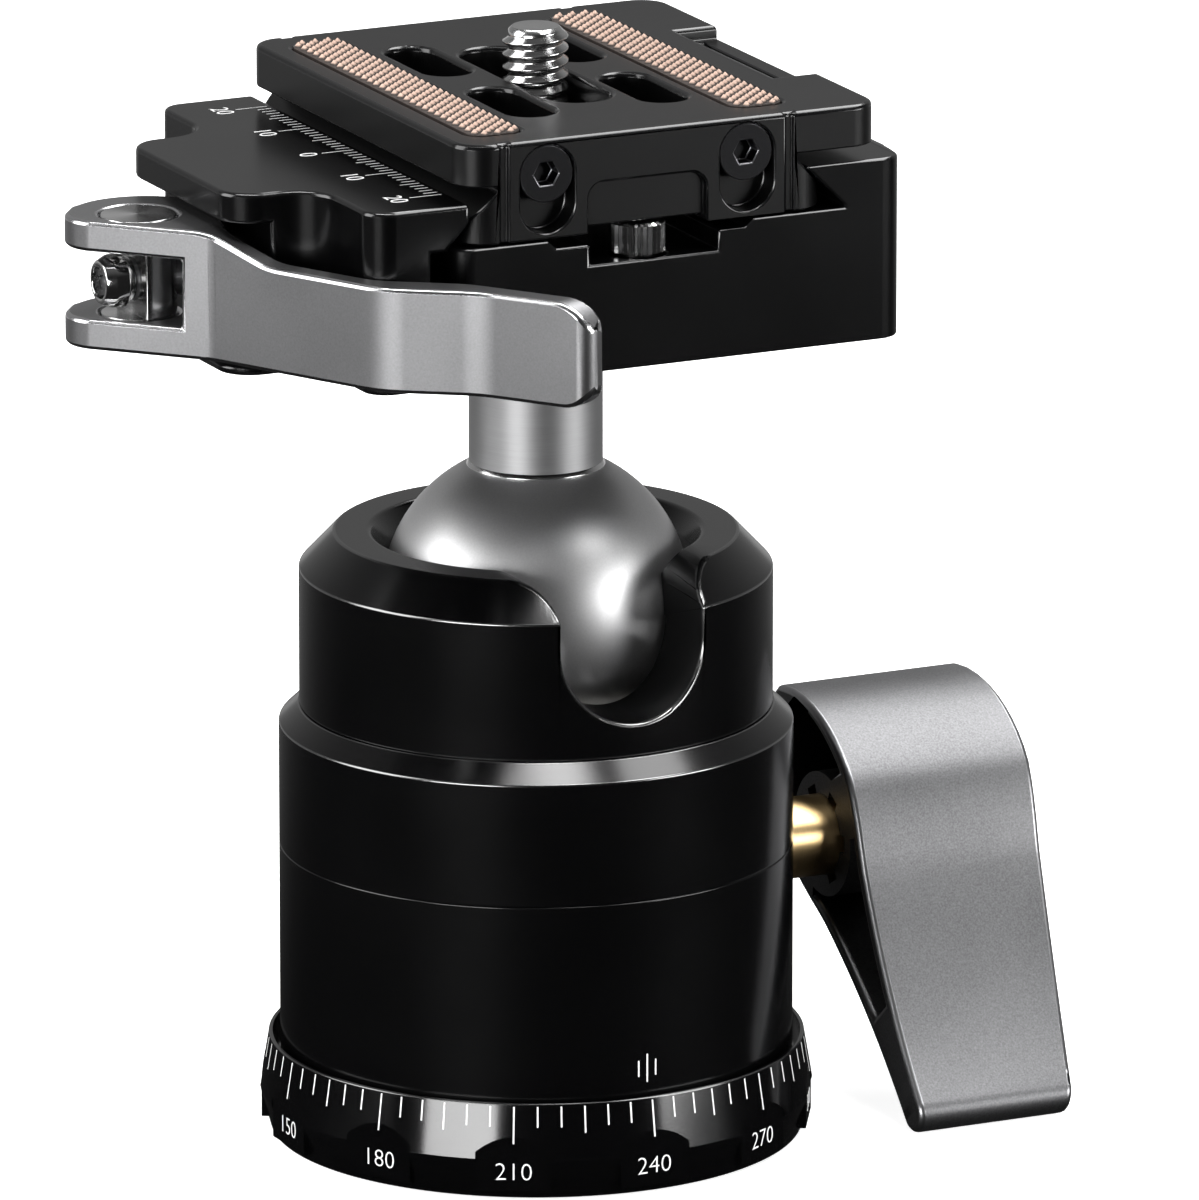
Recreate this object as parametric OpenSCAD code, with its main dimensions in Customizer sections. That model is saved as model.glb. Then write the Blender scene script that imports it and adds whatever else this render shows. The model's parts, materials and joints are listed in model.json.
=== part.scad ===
// Ball head with drop notch, panning base, lever clamp and quick-release plate.
// Millimetres, +Z up, origin at the centre of the base's bottom face.
// +X is the lock shaft, -Y is the drop notch and the index line, the dovetail runs along Y.

/* [Base] */
// Height of the scale ring
ring_h = 9.5; // [8.5:0.1:12]
// Height of the ring's widest line above the bottom
crease_h = 4.1; // [3:0.1:5]
// How far the ring widens from its top edge to its widest line
ring_flare = 0.7; // [0.4:0.1:1.2]
// How far the ring's foot is drawn in below its widest line
foot_in = 1.1; // [0.6:0.1:2]
// Thickness of the ring's top lip
lip_t = 0.6; // [0.4:0.1:1.2]
// Gap between the lip and the housing
lip_gap = 0.7; // [0.4:0.1:1.2]
// Depth of the recess that the housing turns in
lip_depth = 1.6; // [1:0.1:2.5]
// Number of flat number pads round the ring
pad_count = 12; // [6:1:12]
// Width of one number pad
pad_w = 7.2; // [5:0.1:9]
// Thickness of the base plate under the ring's web
base_plate_t = 3.5; // [3:0.1:3.8]
// Diameter of the base plate
base_plate_d = 39.8; // [36:0.2:41]
// Major diameter of the tripod thread, 3/8 inch
tripod_thread_d = 9.525; // [6.35:0.025:9.525]
// Outer diameter of the tripod thread bush
bush_d = 14; // [13:0.5:15]
// Length of the tripod thread bush
bush_len = 11; // [10:0.5:12]
// Diameter of the pan spindle
spindle_d = 18; // [17:0.5:19]
// Thickness of the thrust washer
washer_t = 0.3; // [0.2:0.05:0.5]

/* [Housing] */
// Diameter of the housing
body_d = 50; // [49:0.5:56]
// Height of the lower housing
lower_h = 20.6; // [20.2:0.1:26]
// Height of the upper housing up to its shoulder
upper_h = 12.1; // [12:0.1:18]
// Height of the sloped shoulder
shoulder_h = 1.8; // [1:0.1:3]
// Diameter of the ball collar
collar_d = 46; // [45:0.5:47]
// Height of the collar's straight wall
collar_h = 13.6; // [12.5:0.1:18]
// Height of the collar's sloped top
cone_h = 3.6; // [2:0.1:5]
// Outer diameter of the collar's flat top
crown_d = 39.2; // [36:0.2:42]
// Diameter of the mouth at the flat top
mouth_d = 32.2; // [31.4:0.2:34]

/* [Ball] */
// Diameter of the ball
ball_d = 30; // [28:0.5:31]
// Depth of the ball's centre below the collar's top
ball_drop = 6.9; // [6:0.1:8]
// Diameter of the stem
stem_d = 13; // [11:0.5:13.5]
// Ledge between the stem and the edge of the ball's flat
stem_ledge = 0.3; // [0.2:0.1:0.8]
// Width of the drop notch
notch_w = 15; // [14.6:0.1:17]
// Height of the notch's round bottom above the ball's centre
notch_lift = 0.5; // [0:0.1:0.8]
// Radius of the notch's flared top corners
notch_flare = 3.2; // [2:0.1:5]
// Height of the clamp's underside above the ball's centre
clamp_rise = 28.7; // [28.6:0.1:40]

/* [Ball lock] */
// Depth of the lock shaft below the parting line of the housing
shaft_drop = 3.45; // [3.45:0.05:5]
// Diameter of the lock shaft inside the housing
shaft_d = 5.6; // [5:0.1:5.6]
// Diameter of the brass shoulder between housing and knob
shoulder_d = 8; // [7:0.1:9]
// Gap between the housing and the knob
knob_gap = 6; // [4:0.5:10]
// Depth of the knob along the shaft at its crown
knob_depth = 20; // [14:0.1:24]
// Length of the knob's long arm
knob_long = 32.5; // [26:0.1:32.6]
// Half width of the knob at the hub
knob_half = 8.8; // [8:0.1:11]
// Half width of the knob's tail
knob_tail = 2; // [1.5:0.1:3]
// Turn of the knob's tail from straight down towards the notch
knob_turn = 40.5; // [40:0.1:90]
// Wall of the knob round its pockets
knob_wall = 1.5; // [1:0.1:2.5]
// Lift of the pressure cup over half a turn of the shaft
cup_lift = 0.25; // [0.1:0.05:0.3]
// Diameter of the pan-lock thumb knob
pan_knob_d = 13; // [10:0.5:15]
// Height of the pan-lock screw above the bottom of the lower housing
pan_knob_rise = 5.8; // [5.4:0.1:6.2]

/* [Clamp] */
// Length of the clamp along the dovetail
clamp_len = 50; // [46:0.5:60]
// Height of the clamp block
clamp_h = 17.8; // [17.5:0.1:20]
// Height of the jaws above the dovetail's floor
jaw_h = 4.4; // [4.2:0.1:5]
// Half width of the dovetail at its foot
dove_half = 19; // [19:0.1:19.5]
// Clearance between jaw and dovetail
dove_gap = 0.1; // [0.05:0.01:0.2]
// Left face of the clamp block
block_left = 20; // [19.6:0.1:20.6]
// Right end of the clamp block at its corners
block_right = 27; // [25:0.5:30]
// Bulge of the clamp block's right end
block_bulge = 2.4; // [1:0.1:4]
// Gap between the clamp block and the sliding jaw
jaw_gap = 2.6; // [1.6:0.1:3.5]
// Left face of the sliding jaw's wide part
jaw_left = 28.8; // [28:0.1:29]
// Left end of the sliding jaw's tongue
tongue_left = 37.7; // [36.5:0.1:38]
// Half width of the tongue
tongue_half = 12.5; // [11:0.5:14]
// Thickness of the tongue
tongue_t = 3; // [2.6:0.1:3.2]
// Depth of the pocket groove below the dovetail's floor
pocket_depth = 2.8; // [2:0.1:3.5]
// Width of the pocket groove
pocket_w = 13.6; // [11:0.2:15]
// Travel of the sliding jaw
jaw_travel = 1; // [0.5:0.1:1.2]

/* [Lever] */
// Distance of the lever's pivot from the middle of the dovetail
pivot_x = 41.8; // [41.8:0.1:44]
// Height of the lever's fork
fork_h = 12.6; // [12:0.1:12.7]
// Thickness of one fork plate
fork_t = 3; // [2.5:0.1:3.3]
// Diameter of the barrel pin
barrel_d = 7.3; // [6.5:0.1:8]
// Height of the lever's tail
tail_h = 10.2; // [8:0.1:10.4]
// Thickness of the lever's tail
tail_t = 2.5; // [2:0.1:2.6]

/* [Plate] */
// Height of the plate
plate_h = 9.7; // [9:0.1:11]
// Thickness of the plate's wings
wing_t = 4.1; // [3:0.1:4.4]
// Left edge of the plate
plate_left = 19.2; // [19:0.1:22]
// Right edge of the plate, with its strap bar
plate_right = 24.8; // [24:0.1:27]
// Radius of the plate's upright corners
plate_corner = 3; // [1:0.5:4]
// Width of the slots in the plate's top
slot_w = 4.8; // [4:0.1:5.4]
// Width of the camera screw's slot
screw_slot_w = 6.7; // [6.6:0.05:7.4]
// Distance of the outer slots from the middle
slot_x = 7; // [6.4:0.1:7.4]
// Width of a grip strip
strip_w = 5.4; // [4:0.1:5.6]
// Distance of the grip strips from the middle
strip_x = 13.8; // [12.8:0.1:14]
// Distance of the end screws from the middle
end_screw_x = 10.5; // [9.5:0.1:11]
// Diameter of an end screw's head
end_screw_d = 5.6; // [4.5:0.1:6]
// Major diameter of the camera screw, 1/4 inch
stud_d = 6.35; // [6.35:0.005:6.4]
// Height of the camera screw above the plate
stud_len = 4.8; // [3:0.1:8]

/* [Hidden] */
$fn = 64;
// Clearances: still fits, turning fits and sliding fits
fit = 0.05;
run = 0.1;
slide_fit = 0.15;
seat_gap = 0.2;
eps = 0.01;
big = 200;

// Radii and heights of the base and the housing
body_r = body_d / 2;
lip_r = body_r + lip_gap;
ring_top_r = lip_r + lip_t;
crease_r = ring_top_r + ring_flare;
foot_r = crease_r - foot_in;
pad_plane = sqrt(crease_r * crease_r - pad_w * pad_w / 4);
recess_z = ring_h - lip_depth;
housing_z = recess_z + washer_t;
parting_z = housing_z + lower_h;
shoulder_z = parting_z + upper_h;
collar_z = shoulder_z + shoulder_h;
collar_r = collar_d / 2;
cone_z = collar_z + collar_h;
crown_z = cone_z + cone_h;
spindle_r = spindle_d / 2;
flange_r = spindle_r + 3;
flange_t = 2;
base_screw_ring = flange_r + 4;
base_screw_r = 1.2;
base_head_r = 2.6;
base_head_h = 1.4;
base_screw_len = 7;
web_floor_z = housing_z + 8.3;
nut_r = spindle_r + 1.5;
nut_z = web_floor_z + 0.5;
nut_h = 2.8;
stub_r = spindle_r - 3;
cavity_r = nut_r + 1.5;
housing_screw_ring = cavity_r + 5.6;
housing_screw_r = 1.65;
housing_head_r = 2.8;
housing_head_h = 3.6;

// The ball, the stem and the pressure cup
ball_z = crown_z - ball_drop;
ball_r = ball_d / 2;
stem_r = stem_d / 2;
stem_z = ball_z + sqrt(ball_r * ball_r - pow(stem_r + stem_ledge, 2));
stem_bore_r = 3;
spigot_r = collar_r - 3;
spigot_z = collar_z - 5.8;
ball_bore_r = ball_r + 0.3;
cup_r = ball_r - 1.1;
cup_gap = cup_lift + 0.05;
chamber_z = parting_z + 2.7;
cup_z = chamber_z + 1.5;
cup_top_z = ball_z - 9;
follower_r = 5;

// The lock shaft and the knob
shaft_z = parting_z - shaft_drop;
shaft_r = shaft_d / 2;
cam_r = shaft_r + 0.6;
cam_offset = cup_lift / 2;
shaft_end = cavity_r + 3.5;
bushing_r = shaft_r + 0.5;
bushing_len = 6;
shoulder_gap = 0.3;
knob_x = body_r + knob_gap;
knob_arc_r = 17.3;
knob_arc_s = -1.5;
knob_nose = knob_arc_s - sqrt(pow(knob_arc_r, 2) - pow(knob_arc_r - knob_half, 2));
knob_end = knob_long - knob_tail;
knob_sag_r = 86;
knob_crown_r = 228;
knob_crown_s = -7;
hub_r = 6.2;
core_r = 3;
core_len = 11;
pocket_deep = 12;
pan_screw_z = housing_z + pan_knob_rise;
pan_screw_r = 2;
pan_knob_t = 9;
pad_r = 1.9;
pad_len = 2;

// The clamp
clamp_z = ball_z + clamp_rise;
clamp_top = clamp_z + clamp_h;
floor_z = clamp_top - jaw_h;
half_len = clamp_len / 2;
dove_lip = 1.8;
plate_z = floor_z + seat_gap;
plate_top = plate_z + plate_h;
wing_z = plate_top - wing_t;
waist_half = dove_half - (wing_z - plate_z - dove_lip) + 0.5;
tip_half = dove_half - (clamp_top - plate_z - dove_lip) + dove_gap * sqrt(2);
undercut_half = dove_half + 1.9;
undercut_z = clamp_top - (undercut_half - tip_half);
pocket_z = floor_z - pocket_depth;
block_edge_r = 2;
block_end_r = 2.5;
floor_groove = [-10.4, 11.2];
jaw_inner = block_left + jaw_gap;
jaw_corner = 2.5;
jaw_hollow = 4.2;
tongue_r = 3.4;

// The lever and its pivot
lever_z = clamp_z + 1.3;
fork_top = lever_z + fork_h;
tail_top = lever_z + tail_h;
cam_off = jaw_travel / (2 * cos(30));
fork_gap_low = lever_z + fork_t;
fork_gap_high = fork_top - fork_t;
bolt_z = (fork_gap_low + fork_gap_high) / 2;
bolt_r = 2;
barrel_r = barrel_d / 2;
lever_cam_r = 7.6;
jaw_wall = pivot_x - lever_cam_r - cam_off * cos(30) - slide_fit;
dome_r = 3.1;
dome_len = 3.4;
barrel_flat = 0.8;
fork_heading = -46.5;
fork_wall = 6.3;
lever_heading = -62.5;
lever_tip = [27.2, -half_len - 18];
tail_end = lever_tip * [cos(lever_heading), sin(lever_heading)];
guide_y = 15;
guide_r = 2;
guide_z = clamp_z + 7;
guide_left = jaw_left - 2.5;
guide_right = block_left - 12;
spring_wire = 0.3;
spring_r = guide_r + 0.75;
spring_seat = 6;
pin_x = 0.3;
pin_y = -half_len + 3;
pin_r = 2.7;
pin_top = floor_z + 0.45;
pin_travel = 2;
pin_foot = 4.2;
stem_head_r = 5;
stem_head_h = 5;

// The plate
slot_long = 13;
slot_y = 9.4;
screw_slot_len = 25;
strip_len = 42;
strip_depth = 0.8;
strip_proud = 0.5;
strap_half = 11;
strap_drop = 1.3;
strap_bar = 2;
end_screw_z = plate_z + 6.3;
end_slot_drop = 2.9;
groove_x = 15;
groove_w = 0.8;
relief_w = 12.4;
relief_top = plate_z + 0.6;
relief_len = 17;
panel_top = plate_z + 5;
panel_depth = 0.7;
retainer_r = 5.4;
retainer_z = plate_z + 0.4;
stud_head_z = retainer_z + 1.2;
stud_head_t = 2;
stud_r = stud_d / 2;
thread_depth = 0.5;
thread_z = plate_top + 0.1;
screw_ledge = stud_head_z + stud_head_t + 0.1;

// Shared shapes

// A disc or tube on the Z axis
module tube(r, low, high, bore = 0) {
    difference() {
        translate([0, 0, low]) cylinder(r = r, h = high - low);
        if (bore > 0) translate([0, 0, low - 1]) cylinder(r = bore, h = high - low + 2);
    }
}

// A rod along X
module rod_x(r, left, right) {
    translate([left, 0, 0]) rotate([0, 90, 0]) cylinder(r = r, h = right - left);
}

// A rod along Y
module rod_y(r, front, rear) {
    translate([0, rear, 0]) rotate([90, 0, 0]) cylinder(r = r, h = rear - front);
}

// Copies round the Z axis
module around(count, first = 0) {
    for (i = [0 : count - 1]) rotate([0, 0, first + i * 360 / count]) children();
}

// A slot with round ends along Y, as a flat shape
module slot_shape(w, len) {
    square([w, len - w], center = true);
    for (side = [-1, 1]) translate([0, side * (len - w) / 2]) circle(d = w);
}

// A rectangle with round corners, as a flat shape
module round_rect(left, right, front, rear, r) {
    translate([left + r, front]) square([right - left - 2 * r, rear - front]);
    translate([left, front + r]) square([right - left, rear - front - 2 * r]);
    for (x = [left + r, right - r], y = [front + r, rear - r]) translate([x, y]) circle(r = r);
}

// The points of an arc that rounds the corner b of the path a, b, c
function unit(v) = v / norm(v);
function turn_of(u, v) = acos(max(-1, min(1, u * v)));
function corner(a, b, c, r, steps = 8) =
    let (u = unit(a - b), v = unit(c - b), half = turn_of(u, v) / 2,
         far = r / tan(half), mid = b + unit(u + v) * (r / sin(half)),
         start = b + u * far - mid, side = (u[0] * v[1] - u[1] * v[0]) > 0 ? -1 : 1)
    [for (i = [0 : steps]) let (t = side * i / steps * (180 - 2 * half))
        mid + [start[0] * cos(t) - start[1] * sin(t), start[0] * sin(t) + start[1] * cos(t)]];

// A closed outline whose corners are rounded by the radii given with the points
function rounded(path) = let (n = len(path))
    [for (i = [0 : n - 1]) let (p = path[i], a = path[(i + n - 1) % n], c = path[(i + 1) % n])
        each (p[2] > 0 ? corner([a[0], a[1]], [p[0], p[1]], [c[0], c[1]], p[2]) : [[p[0], p[1]]])];

// The inner side of a bent bar: s and t are its thickness before and after the bend b
function left_of(a, b) = let (u = unit(b - a)) [-u[1], u[0]];
function bend(a, b, c, s, t) = let (m = left_of(a, b), n = left_of(b, c))
    b + [s * n[1] - t * m[1], t * m[0] - s * n[0]] / (m[0] * n[1] - m[1] * n[0]);

// A wound spring along Z: one round wire swept along a helix
module coil(r, wire, turns, length) {
    rings = 16 * turns;
    sides = 6;
    pitch = (length - 2 * wire) / turns;
    points = [for (i = [0 : rings], j = [0 : sides - 1])
        let (t = i * 360 / 16, q = j * 360 / sides, out = r + wire * cos(q))
        [out * cos(t), out * sin(t), wire + pitch * t / 360 + wire * sin(q)]];
    walls = [for (i = [0 : rings - 1], j = [0 : sides - 1])
        let (a = i * sides + j, b = i * sides + (j + 1) % sides)
        each [[a, a + sides, b], [b, a + sides, b + sides]]];
    first = [for (j = [1 : sides - 2]) [0, j, j + 1]];
    last = [for (j = [1 : sides - 2]) [rings * sides, rings * sides + j + 1, rings * sides + j]];
    polyhedron(points, concat(walls, first, last));
    echo(spring_gap = pitch - 2 * wire);
}

// Base

// The turned body of the scale ring, its pads standing proud of the foot
module scale_ring() {
    color([0.06, 0.06, 0.065]) difference() {
        union() {
            rotate_extrude($fn = 128) polygon([[spindle_r + fit, base_plate_t],
                [base_plate_d / 2 + fit, base_plate_t], [base_plate_d / 2 + fit, 0], [foot_r - 0.4, 0],
                [foot_r, 0.6], [crease_r, crease_h], [ring_top_r, ring_h - 0.15], [ring_top_r - 0.15, ring_h],
                [lip_r, ring_h], [lip_r, recess_z], [spindle_r + fit, recess_z]]);
            around(pad_count) translate([pad_plane - 3, -pad_w / 2, 0.9]) cube([3, pad_w, crease_h - 0.9]);
        }
        around(pad_count) translate([pad_plane, -pad_w, -1]) cube([5, 2 * pad_w, ring_h]);
        translate([0, 0, -1]) cylinder(r = flange_r + fit, h = base_plate_t + flange_t + 1);
        base_screw_holes(base_screw_r + run, base_plate_t - 1, base_screw_len + seat_gap);
    }
}

// Holes of the base plate's screws
module base_screw_holes(r, low, high) {
    around(3, 30) translate([base_screw_ring, 0, 0]) tube(r, low, high);
}

module base_plate() {
    color([0.2, 0.2, 0.21]) difference() {
        tube(base_plate_d / 2, 0, base_plate_t, bush_d / 2 + fit);
        base_screw_holes(base_screw_r + slide_fit, -1, base_plate_t + 1);
        around(3, 30) translate([base_screw_ring, 0, -eps])
            cylinder(r1 = base_head_r + slide_fit, r2 = base_screw_r + slide_fit, h = base_head_h);
    }
}

module thread_bush() {
    color([0.75, 0.75, 0.74]) tube(bush_d / 2, 0, bush_len, tripod_thread_d / 2);
}

module base_screws() {
    color([0.15, 0.15, 0.16]) around(3, 30) translate([base_screw_ring, 0, 0]) {
        cylinder(r1 = base_head_r, r2 = base_screw_r, h = base_head_h);
        tube(base_screw_r, base_head_h - 0.1, base_screw_len);
    }
}

module pan_spindle() {
    color([0.7, 0.7, 0.7]) difference() {
        union() {
            tube(flange_r, base_plate_t, base_plate_t + flange_t - fit);
            tube(spindle_r, base_plate_t, nut_z);
            tube(stub_r, nut_z - 1, nut_z + nut_h);
        }
        translate([0, 0, -1]) cylinder(r = bush_d / 2 + fit, h = bush_len + 1 + fit);
    }
}

module thrust_washer() {
    color([0.9, 0.9, 0.88]) tube(body_r - 1, recess_z, housing_z, spindle_r + 2);
}

module wave_washer() {
    color([0.7, 0.7, 0.7]) tube(nut_r, web_floor_z + fit, nut_z - fit, spindle_r + run);
}

module spindle_nut() {
    color([0.6, 0.6, 0.6]) difference() {
        tube(nut_r, nut_z, nut_z + nut_h, stub_r + fit);
        around(4) translate([nut_r - 1.2, -1, nut_z + 1.6]) cube([3, 2, 2]);
    }
}

// Housing

module lower_housing() {
    color([0.04, 0.04, 0.042]) difference() {
        rotate_extrude($fn = 128) polygon([[spindle_r + run, housing_z], [body_r - 0.3, housing_z],
            [body_r, housing_z + 0.3], [body_r, parting_z - 0.1], [body_r - 0.1, parting_z],
            [cavity_r, parting_z], [cavity_r, web_floor_z], [spindle_r + run, web_floor_z]]);
        translate([0, 0, shaft_z]) {
            rod_x(shaft_r + run, -shaft_end - 0.3, body_r + 1);
            rod_x(bushing_r + fit, body_r - bushing_len - 1, body_r + 1);
        }
        housing_screw_holes(housing_screw_r + fit, shaft_z - 4, parting_z + 1);
        translate([0, 0, pan_screw_z]) rod_y(pan_screw_r + run, spindle_r, body_r + 1);
    }
}

// Holes of the screws that join the two housings
module housing_screw_holes(r, low, high) {
    around(4, 45) translate([housing_screw_ring, 0, 0]) tube(r, low, high);
}

module upper_housing() {
    color([0.04, 0.04, 0.042]) difference() {
        rotate_extrude($fn = 128) polygon([[follower_r + run, parting_z], [body_r - 0.1, parting_z],
            [body_r, parting_z + 0.1], [body_r, shoulder_z], [collar_r + 0.1, collar_z],
            [collar_r - 1, collar_z], [collar_r - 1, collar_z - 0.8], [spigot_r + fit, collar_z - 0.8],
            [spigot_r + fit, spigot_z], [cup_r + run, spigot_z], [cup_r + run, chamber_z],
            [follower_r + run, chamber_z]]);
        housing_screw_holes(housing_screw_r + fit, parting_z - 1, spigot_z + 1);
        housing_screw_holes(housing_head_r + run, spigot_z - housing_head_h, spigot_z + 1);
    }
}

module housing_screws() {
    color([0.12, 0.12, 0.13]) around(4, 45) translate([housing_screw_ring, 0, 0]) {
        difference() {
            tube(housing_head_r, spigot_z - housing_head_h, spigot_z - 0.2);
            translate([0, 0, spigot_z - 2]) cylinder(r = 1.5, h = 3, $fn = 6);
        }
        tube(housing_screw_r, shaft_z - 3.5, spigot_z - housing_head_h + 0.1);
    }
}

module shaft_bushing() {
    color([0.72, 0.56, 0.3]) translate([0, 0, shaft_z]) difference() {
        rod_x(bushing_r, body_r - bushing_len - 1, body_r - 1);
        rod_x(shaft_r + run, 0, body_r + 1);
    }
}

// The drop notch as a flat shape: straight sides, round bottom, flared top corners
module notch_shape() {
    mid = ball_z + notch_lift;
    top = crown_z - notch_flare;
    translate([0, mid]) circle(d = notch_w);
    translate([-notch_w / 2, mid]) square([notch_w, crown_z - mid + 1]);
    for (side = [-1, 1]) difference() {
        translate([side * (notch_w / 2 + notch_flare / 2 - eps), top + notch_flare])
            square([notch_flare + 2 * eps, 2 * notch_flare], center = true);
        translate([side * (notch_w / 2 + notch_flare), top]) circle(r = notch_flare);
    }
}

module ball_collar() {
    seat = ball_r + 0.06;
    seat_lip = ball_bore_r - 1.5;
    color([0.045, 0.045, 0.047]) difference() {
        rotate_extrude($fn = 128) polygon([[ball_bore_r, spigot_z], [spigot_r, spigot_z],
            [spigot_r, collar_z - 0.8], [collar_r - 1.05, collar_z - 0.8], [collar_r - 1.05, collar_z],
            [collar_r - 0.3, collar_z], [collar_r, collar_z + 0.3], [collar_r, cone_z],
            [crown_d / 2, crown_z], [mouth_d / 2, crown_z], [seat_lip, ball_z + 3.6],
            [seat_lip, ball_z + 0.5], [ball_bore_r, ball_z + 0.5]]);
        translate([0, 0, ball_z]) sphere(r = seat, $fn = 96);
        translate([0, -10, 0]) rotate([90, 0, 0]) linear_extrude(big / 8) notch_shape();
    }
}

// Ball lock

module lock_shaft() {
    color([0.78, 0.6, 0.3]) translate([0, 0, shaft_z]) difference() {
        union() {
            rod_x(shaft_r, -shaft_end, body_r + shoulder_gap + 1);
            translate([0, 0, -cam_offset]) rod_x(cam_r, -4, 4);
            rod_x(shoulder_d / 2, body_r + shoulder_gap, knob_x + 1);
            rod_x(core_r, knob_x, knob_x + core_len);
        }
        rod_x(1.25, knob_x + 2, knob_x + core_len + 1);
    }
}

// Half width of the knob at a place along its length
function knob_back(s) = sqrt(pow(knob_arc_r, 2) - pow(s - knob_arc_s, 2)) - knob_arc_r + knob_half;
function knob_front(s) = let (k = (s - knob_arc_s) / (knob_end - knob_arc_s),
    sag = (pow((knob_end - knob_arc_s) / 2, 2) * 4 * k * (1 - k)) / (2 * knob_sag_r))
    knob_half + (knob_tail - knob_half) * k - sag * min(1, 4 * k);
function knob_edge(s) = s < knob_arc_s ? knob_back(s) : knob_front(s);

// The knob's outline from s = from to s = to, as a flat shape
module knob_outline(from, to, wall = 0) {
    steps = 28;
    upper = [for (i = [0 : steps]) let (s = from + (to - from) * i / steps)
        [s, max(0.3, knob_edge(s) - wall)]];
    lower = [for (i = [steps : -1 : 0]) [upper[i][0], -upper[i][1]]];
    polygon(concat(upper, lower));
}

// Turns a flat shape along the knob into the knob's place, extruded along the shaft
module on_shaft(x, h) {
    translate([x, 0, shaft_z]) rotate([0, 90, 0]) rotate([0, 0, -knob_turn]) linear_extrude(h) children();
}

module lock_knob() {
    color([0.62, 0.62, 0.63]) difference() {
        intersection() {
            on_shaft(knob_x, knob_depth + 1) union() {
                knob_outline(knob_nose + 0.35, knob_end);
                translate([knob_end, 0]) circle(r = knob_tail);
            }
            translate([knob_x + knob_depth - knob_crown_r, 0, shaft_z]) rotate([-knob_turn, 0, 0])
                translate([0, 0, -knob_crown_s]) rod_y(knob_crown_r, -big / 4, big / 4);
        }
        on_shaft(knob_x - 1, pocket_deep + 1) difference() {
            union() {
                knob_outline(knob_nose + 3.6, -3.2, knob_wall);
                knob_outline(3.2, knob_end - 11, knob_wall);
            }
            circle(r = hub_r);
        }
        translate([0, 0, shaft_z]) {
            rod_x(shoulder_d / 2 + fit, knob_x - 1, knob_x + 1.2);
            rod_x(core_r + fit, knob_x, knob_x + core_len + 0.2);
            rod_x(1.5, knob_x, knob_x + knob_depth + 1);
            rod_x(2.8, knob_x + knob_depth - 3, knob_x + knob_depth + 1);
            for (i = [0 : 5]) rotate([i * 60 + 30, 0, 0])
                translate([knob_x - 1, -0.9, shoulder_d / 2 - 1]) cube([2, 1.8, 1.9]);
        }
    }
}

module knob_screw() {
    color([0.3, 0.3, 0.31]) translate([0, 0, shaft_z]) difference() {
        union() {
            rod_x(2.7, knob_x + knob_depth - 3, knob_x + knob_depth - 0.8);
            rod_x(1.2, knob_x + 4, knob_x + knob_depth - 2.9);
        }
        translate([knob_x + knob_depth - 2, 0, 0]) rotate([0, 90, 0]) cylinder(r = 1.4, h = 4, $fn = 6);
    }
}

module cup_follower() {
    color([0.7, 0.7, 0.7]) tube(follower_r, shaft_z + cam_r - cam_offset + run, chamber_z + 0.3);
}

// Two dished washers, back to back
module disc_springs() {
    low = chamber_z + 0.3;
    high = cup_z;
    mid = (low + high) / 2;
    color([0.5, 0.5, 0.52]) for (side = [-1, 1]) {
        face = side < 0 ? low : high;
        rotate_extrude() polygon([[2.2, face], [3.4, face], [8, mid + side * 0.3], [8, mid], [7.4, mid],
            [2.2, face - side * 0.3]]);
    }
}

module pressure_cup() {
    color([0.85, 0.84, 0.8]) difference() {
        union() {
            tube(cup_r, cup_z, cup_top_z);
            tube(1.9, chamber_z + 0.5, cup_z + 1);
        }
        translate([0, 0, ball_z]) sphere(r = ball_r + cup_gap, $fn = 96);
    }
}

module pan_lock_screw() {
    color([0.7, 0.7, 0.7]) translate([0, 0, pan_screw_z])
        rod_y(pan_screw_r, spindle_r + run + pad_len, body_r + 7);
}

module pan_lock_knob() {
    color([0.06, 0.06, 0.065]) translate([0, 0, pan_screw_z]) difference() {
        union() {
            rod_y(pan_knob_d / 2 - 3, body_r + 1.2, body_r + 3);
            rod_y(pan_knob_d / 2, body_r + 3, body_r + 3 + pan_knob_t);
        }
        rod_y(pan_screw_r + fit, body_r, body_r + 7 + fit);
        for (i = [0 : 11]) rotate([0, i * 30, 0]) translate([0, 0, pan_knob_d / 2 + 0.5])
            rod_y(1.2, body_r + 2, body_r + 4 + pan_knob_t);
    }
}

module pan_lock_pad() {
    color([0.75, 0.6, 0.3]) translate([0, 0, pan_screw_z])
        rod_y(pad_r, spindle_r + run, spindle_r + run + pad_len);
}

// Ball and stem

module ball() {
    color([0.33, 0.33, 0.34]) difference() {
        translate([0, 0, ball_z]) sphere(r = ball_r, $fn = 96);
        translate([0, 0, stem_z]) cylinder(r = big, h = big);
        tube(stem_bore_r + 2 + fit, stem_z - 8 - fit, stem_z + 1);
    }
}

module stem() {
    color([0.55, 0.55, 0.56]) difference() {
        union() {
            tube(stem_r, stem_z, clamp_z);
            tube(stem_bore_r + 2, stem_z - 8, stem_z + 1);
        }
        tube(stem_bore_r, stem_z - 4, clamp_z + 1);
    }
}

module stem_screw() {
    color([0.2, 0.2, 0.21]) difference() {
        union() {
            tube(stem_head_r, pocket_z - stem_head_h - 0.4, pocket_z - 0.4);
            tube(stem_bore_r - fit, stem_z - 3.5, pocket_z - stem_head_h);
        }
        translate([0, 0, pocket_z - 3.4]) cylinder(r = 2.9, h = 4, $fn = 6);
    }
}

// Clamp

// The dovetail's space between two jaws, open upwards, from the left to the right limit
module dovetail_space(left, right) {
    rotate([90, 0, 0]) linear_extrude(big, center = true)
        polygon([[left, floor_z], [undercut_half, floor_z], [undercut_half, undercut_z],
            [tip_half, clamp_top], [tip_half, clamp_top + 1], [left, clamp_top + 1]]);
}

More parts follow.
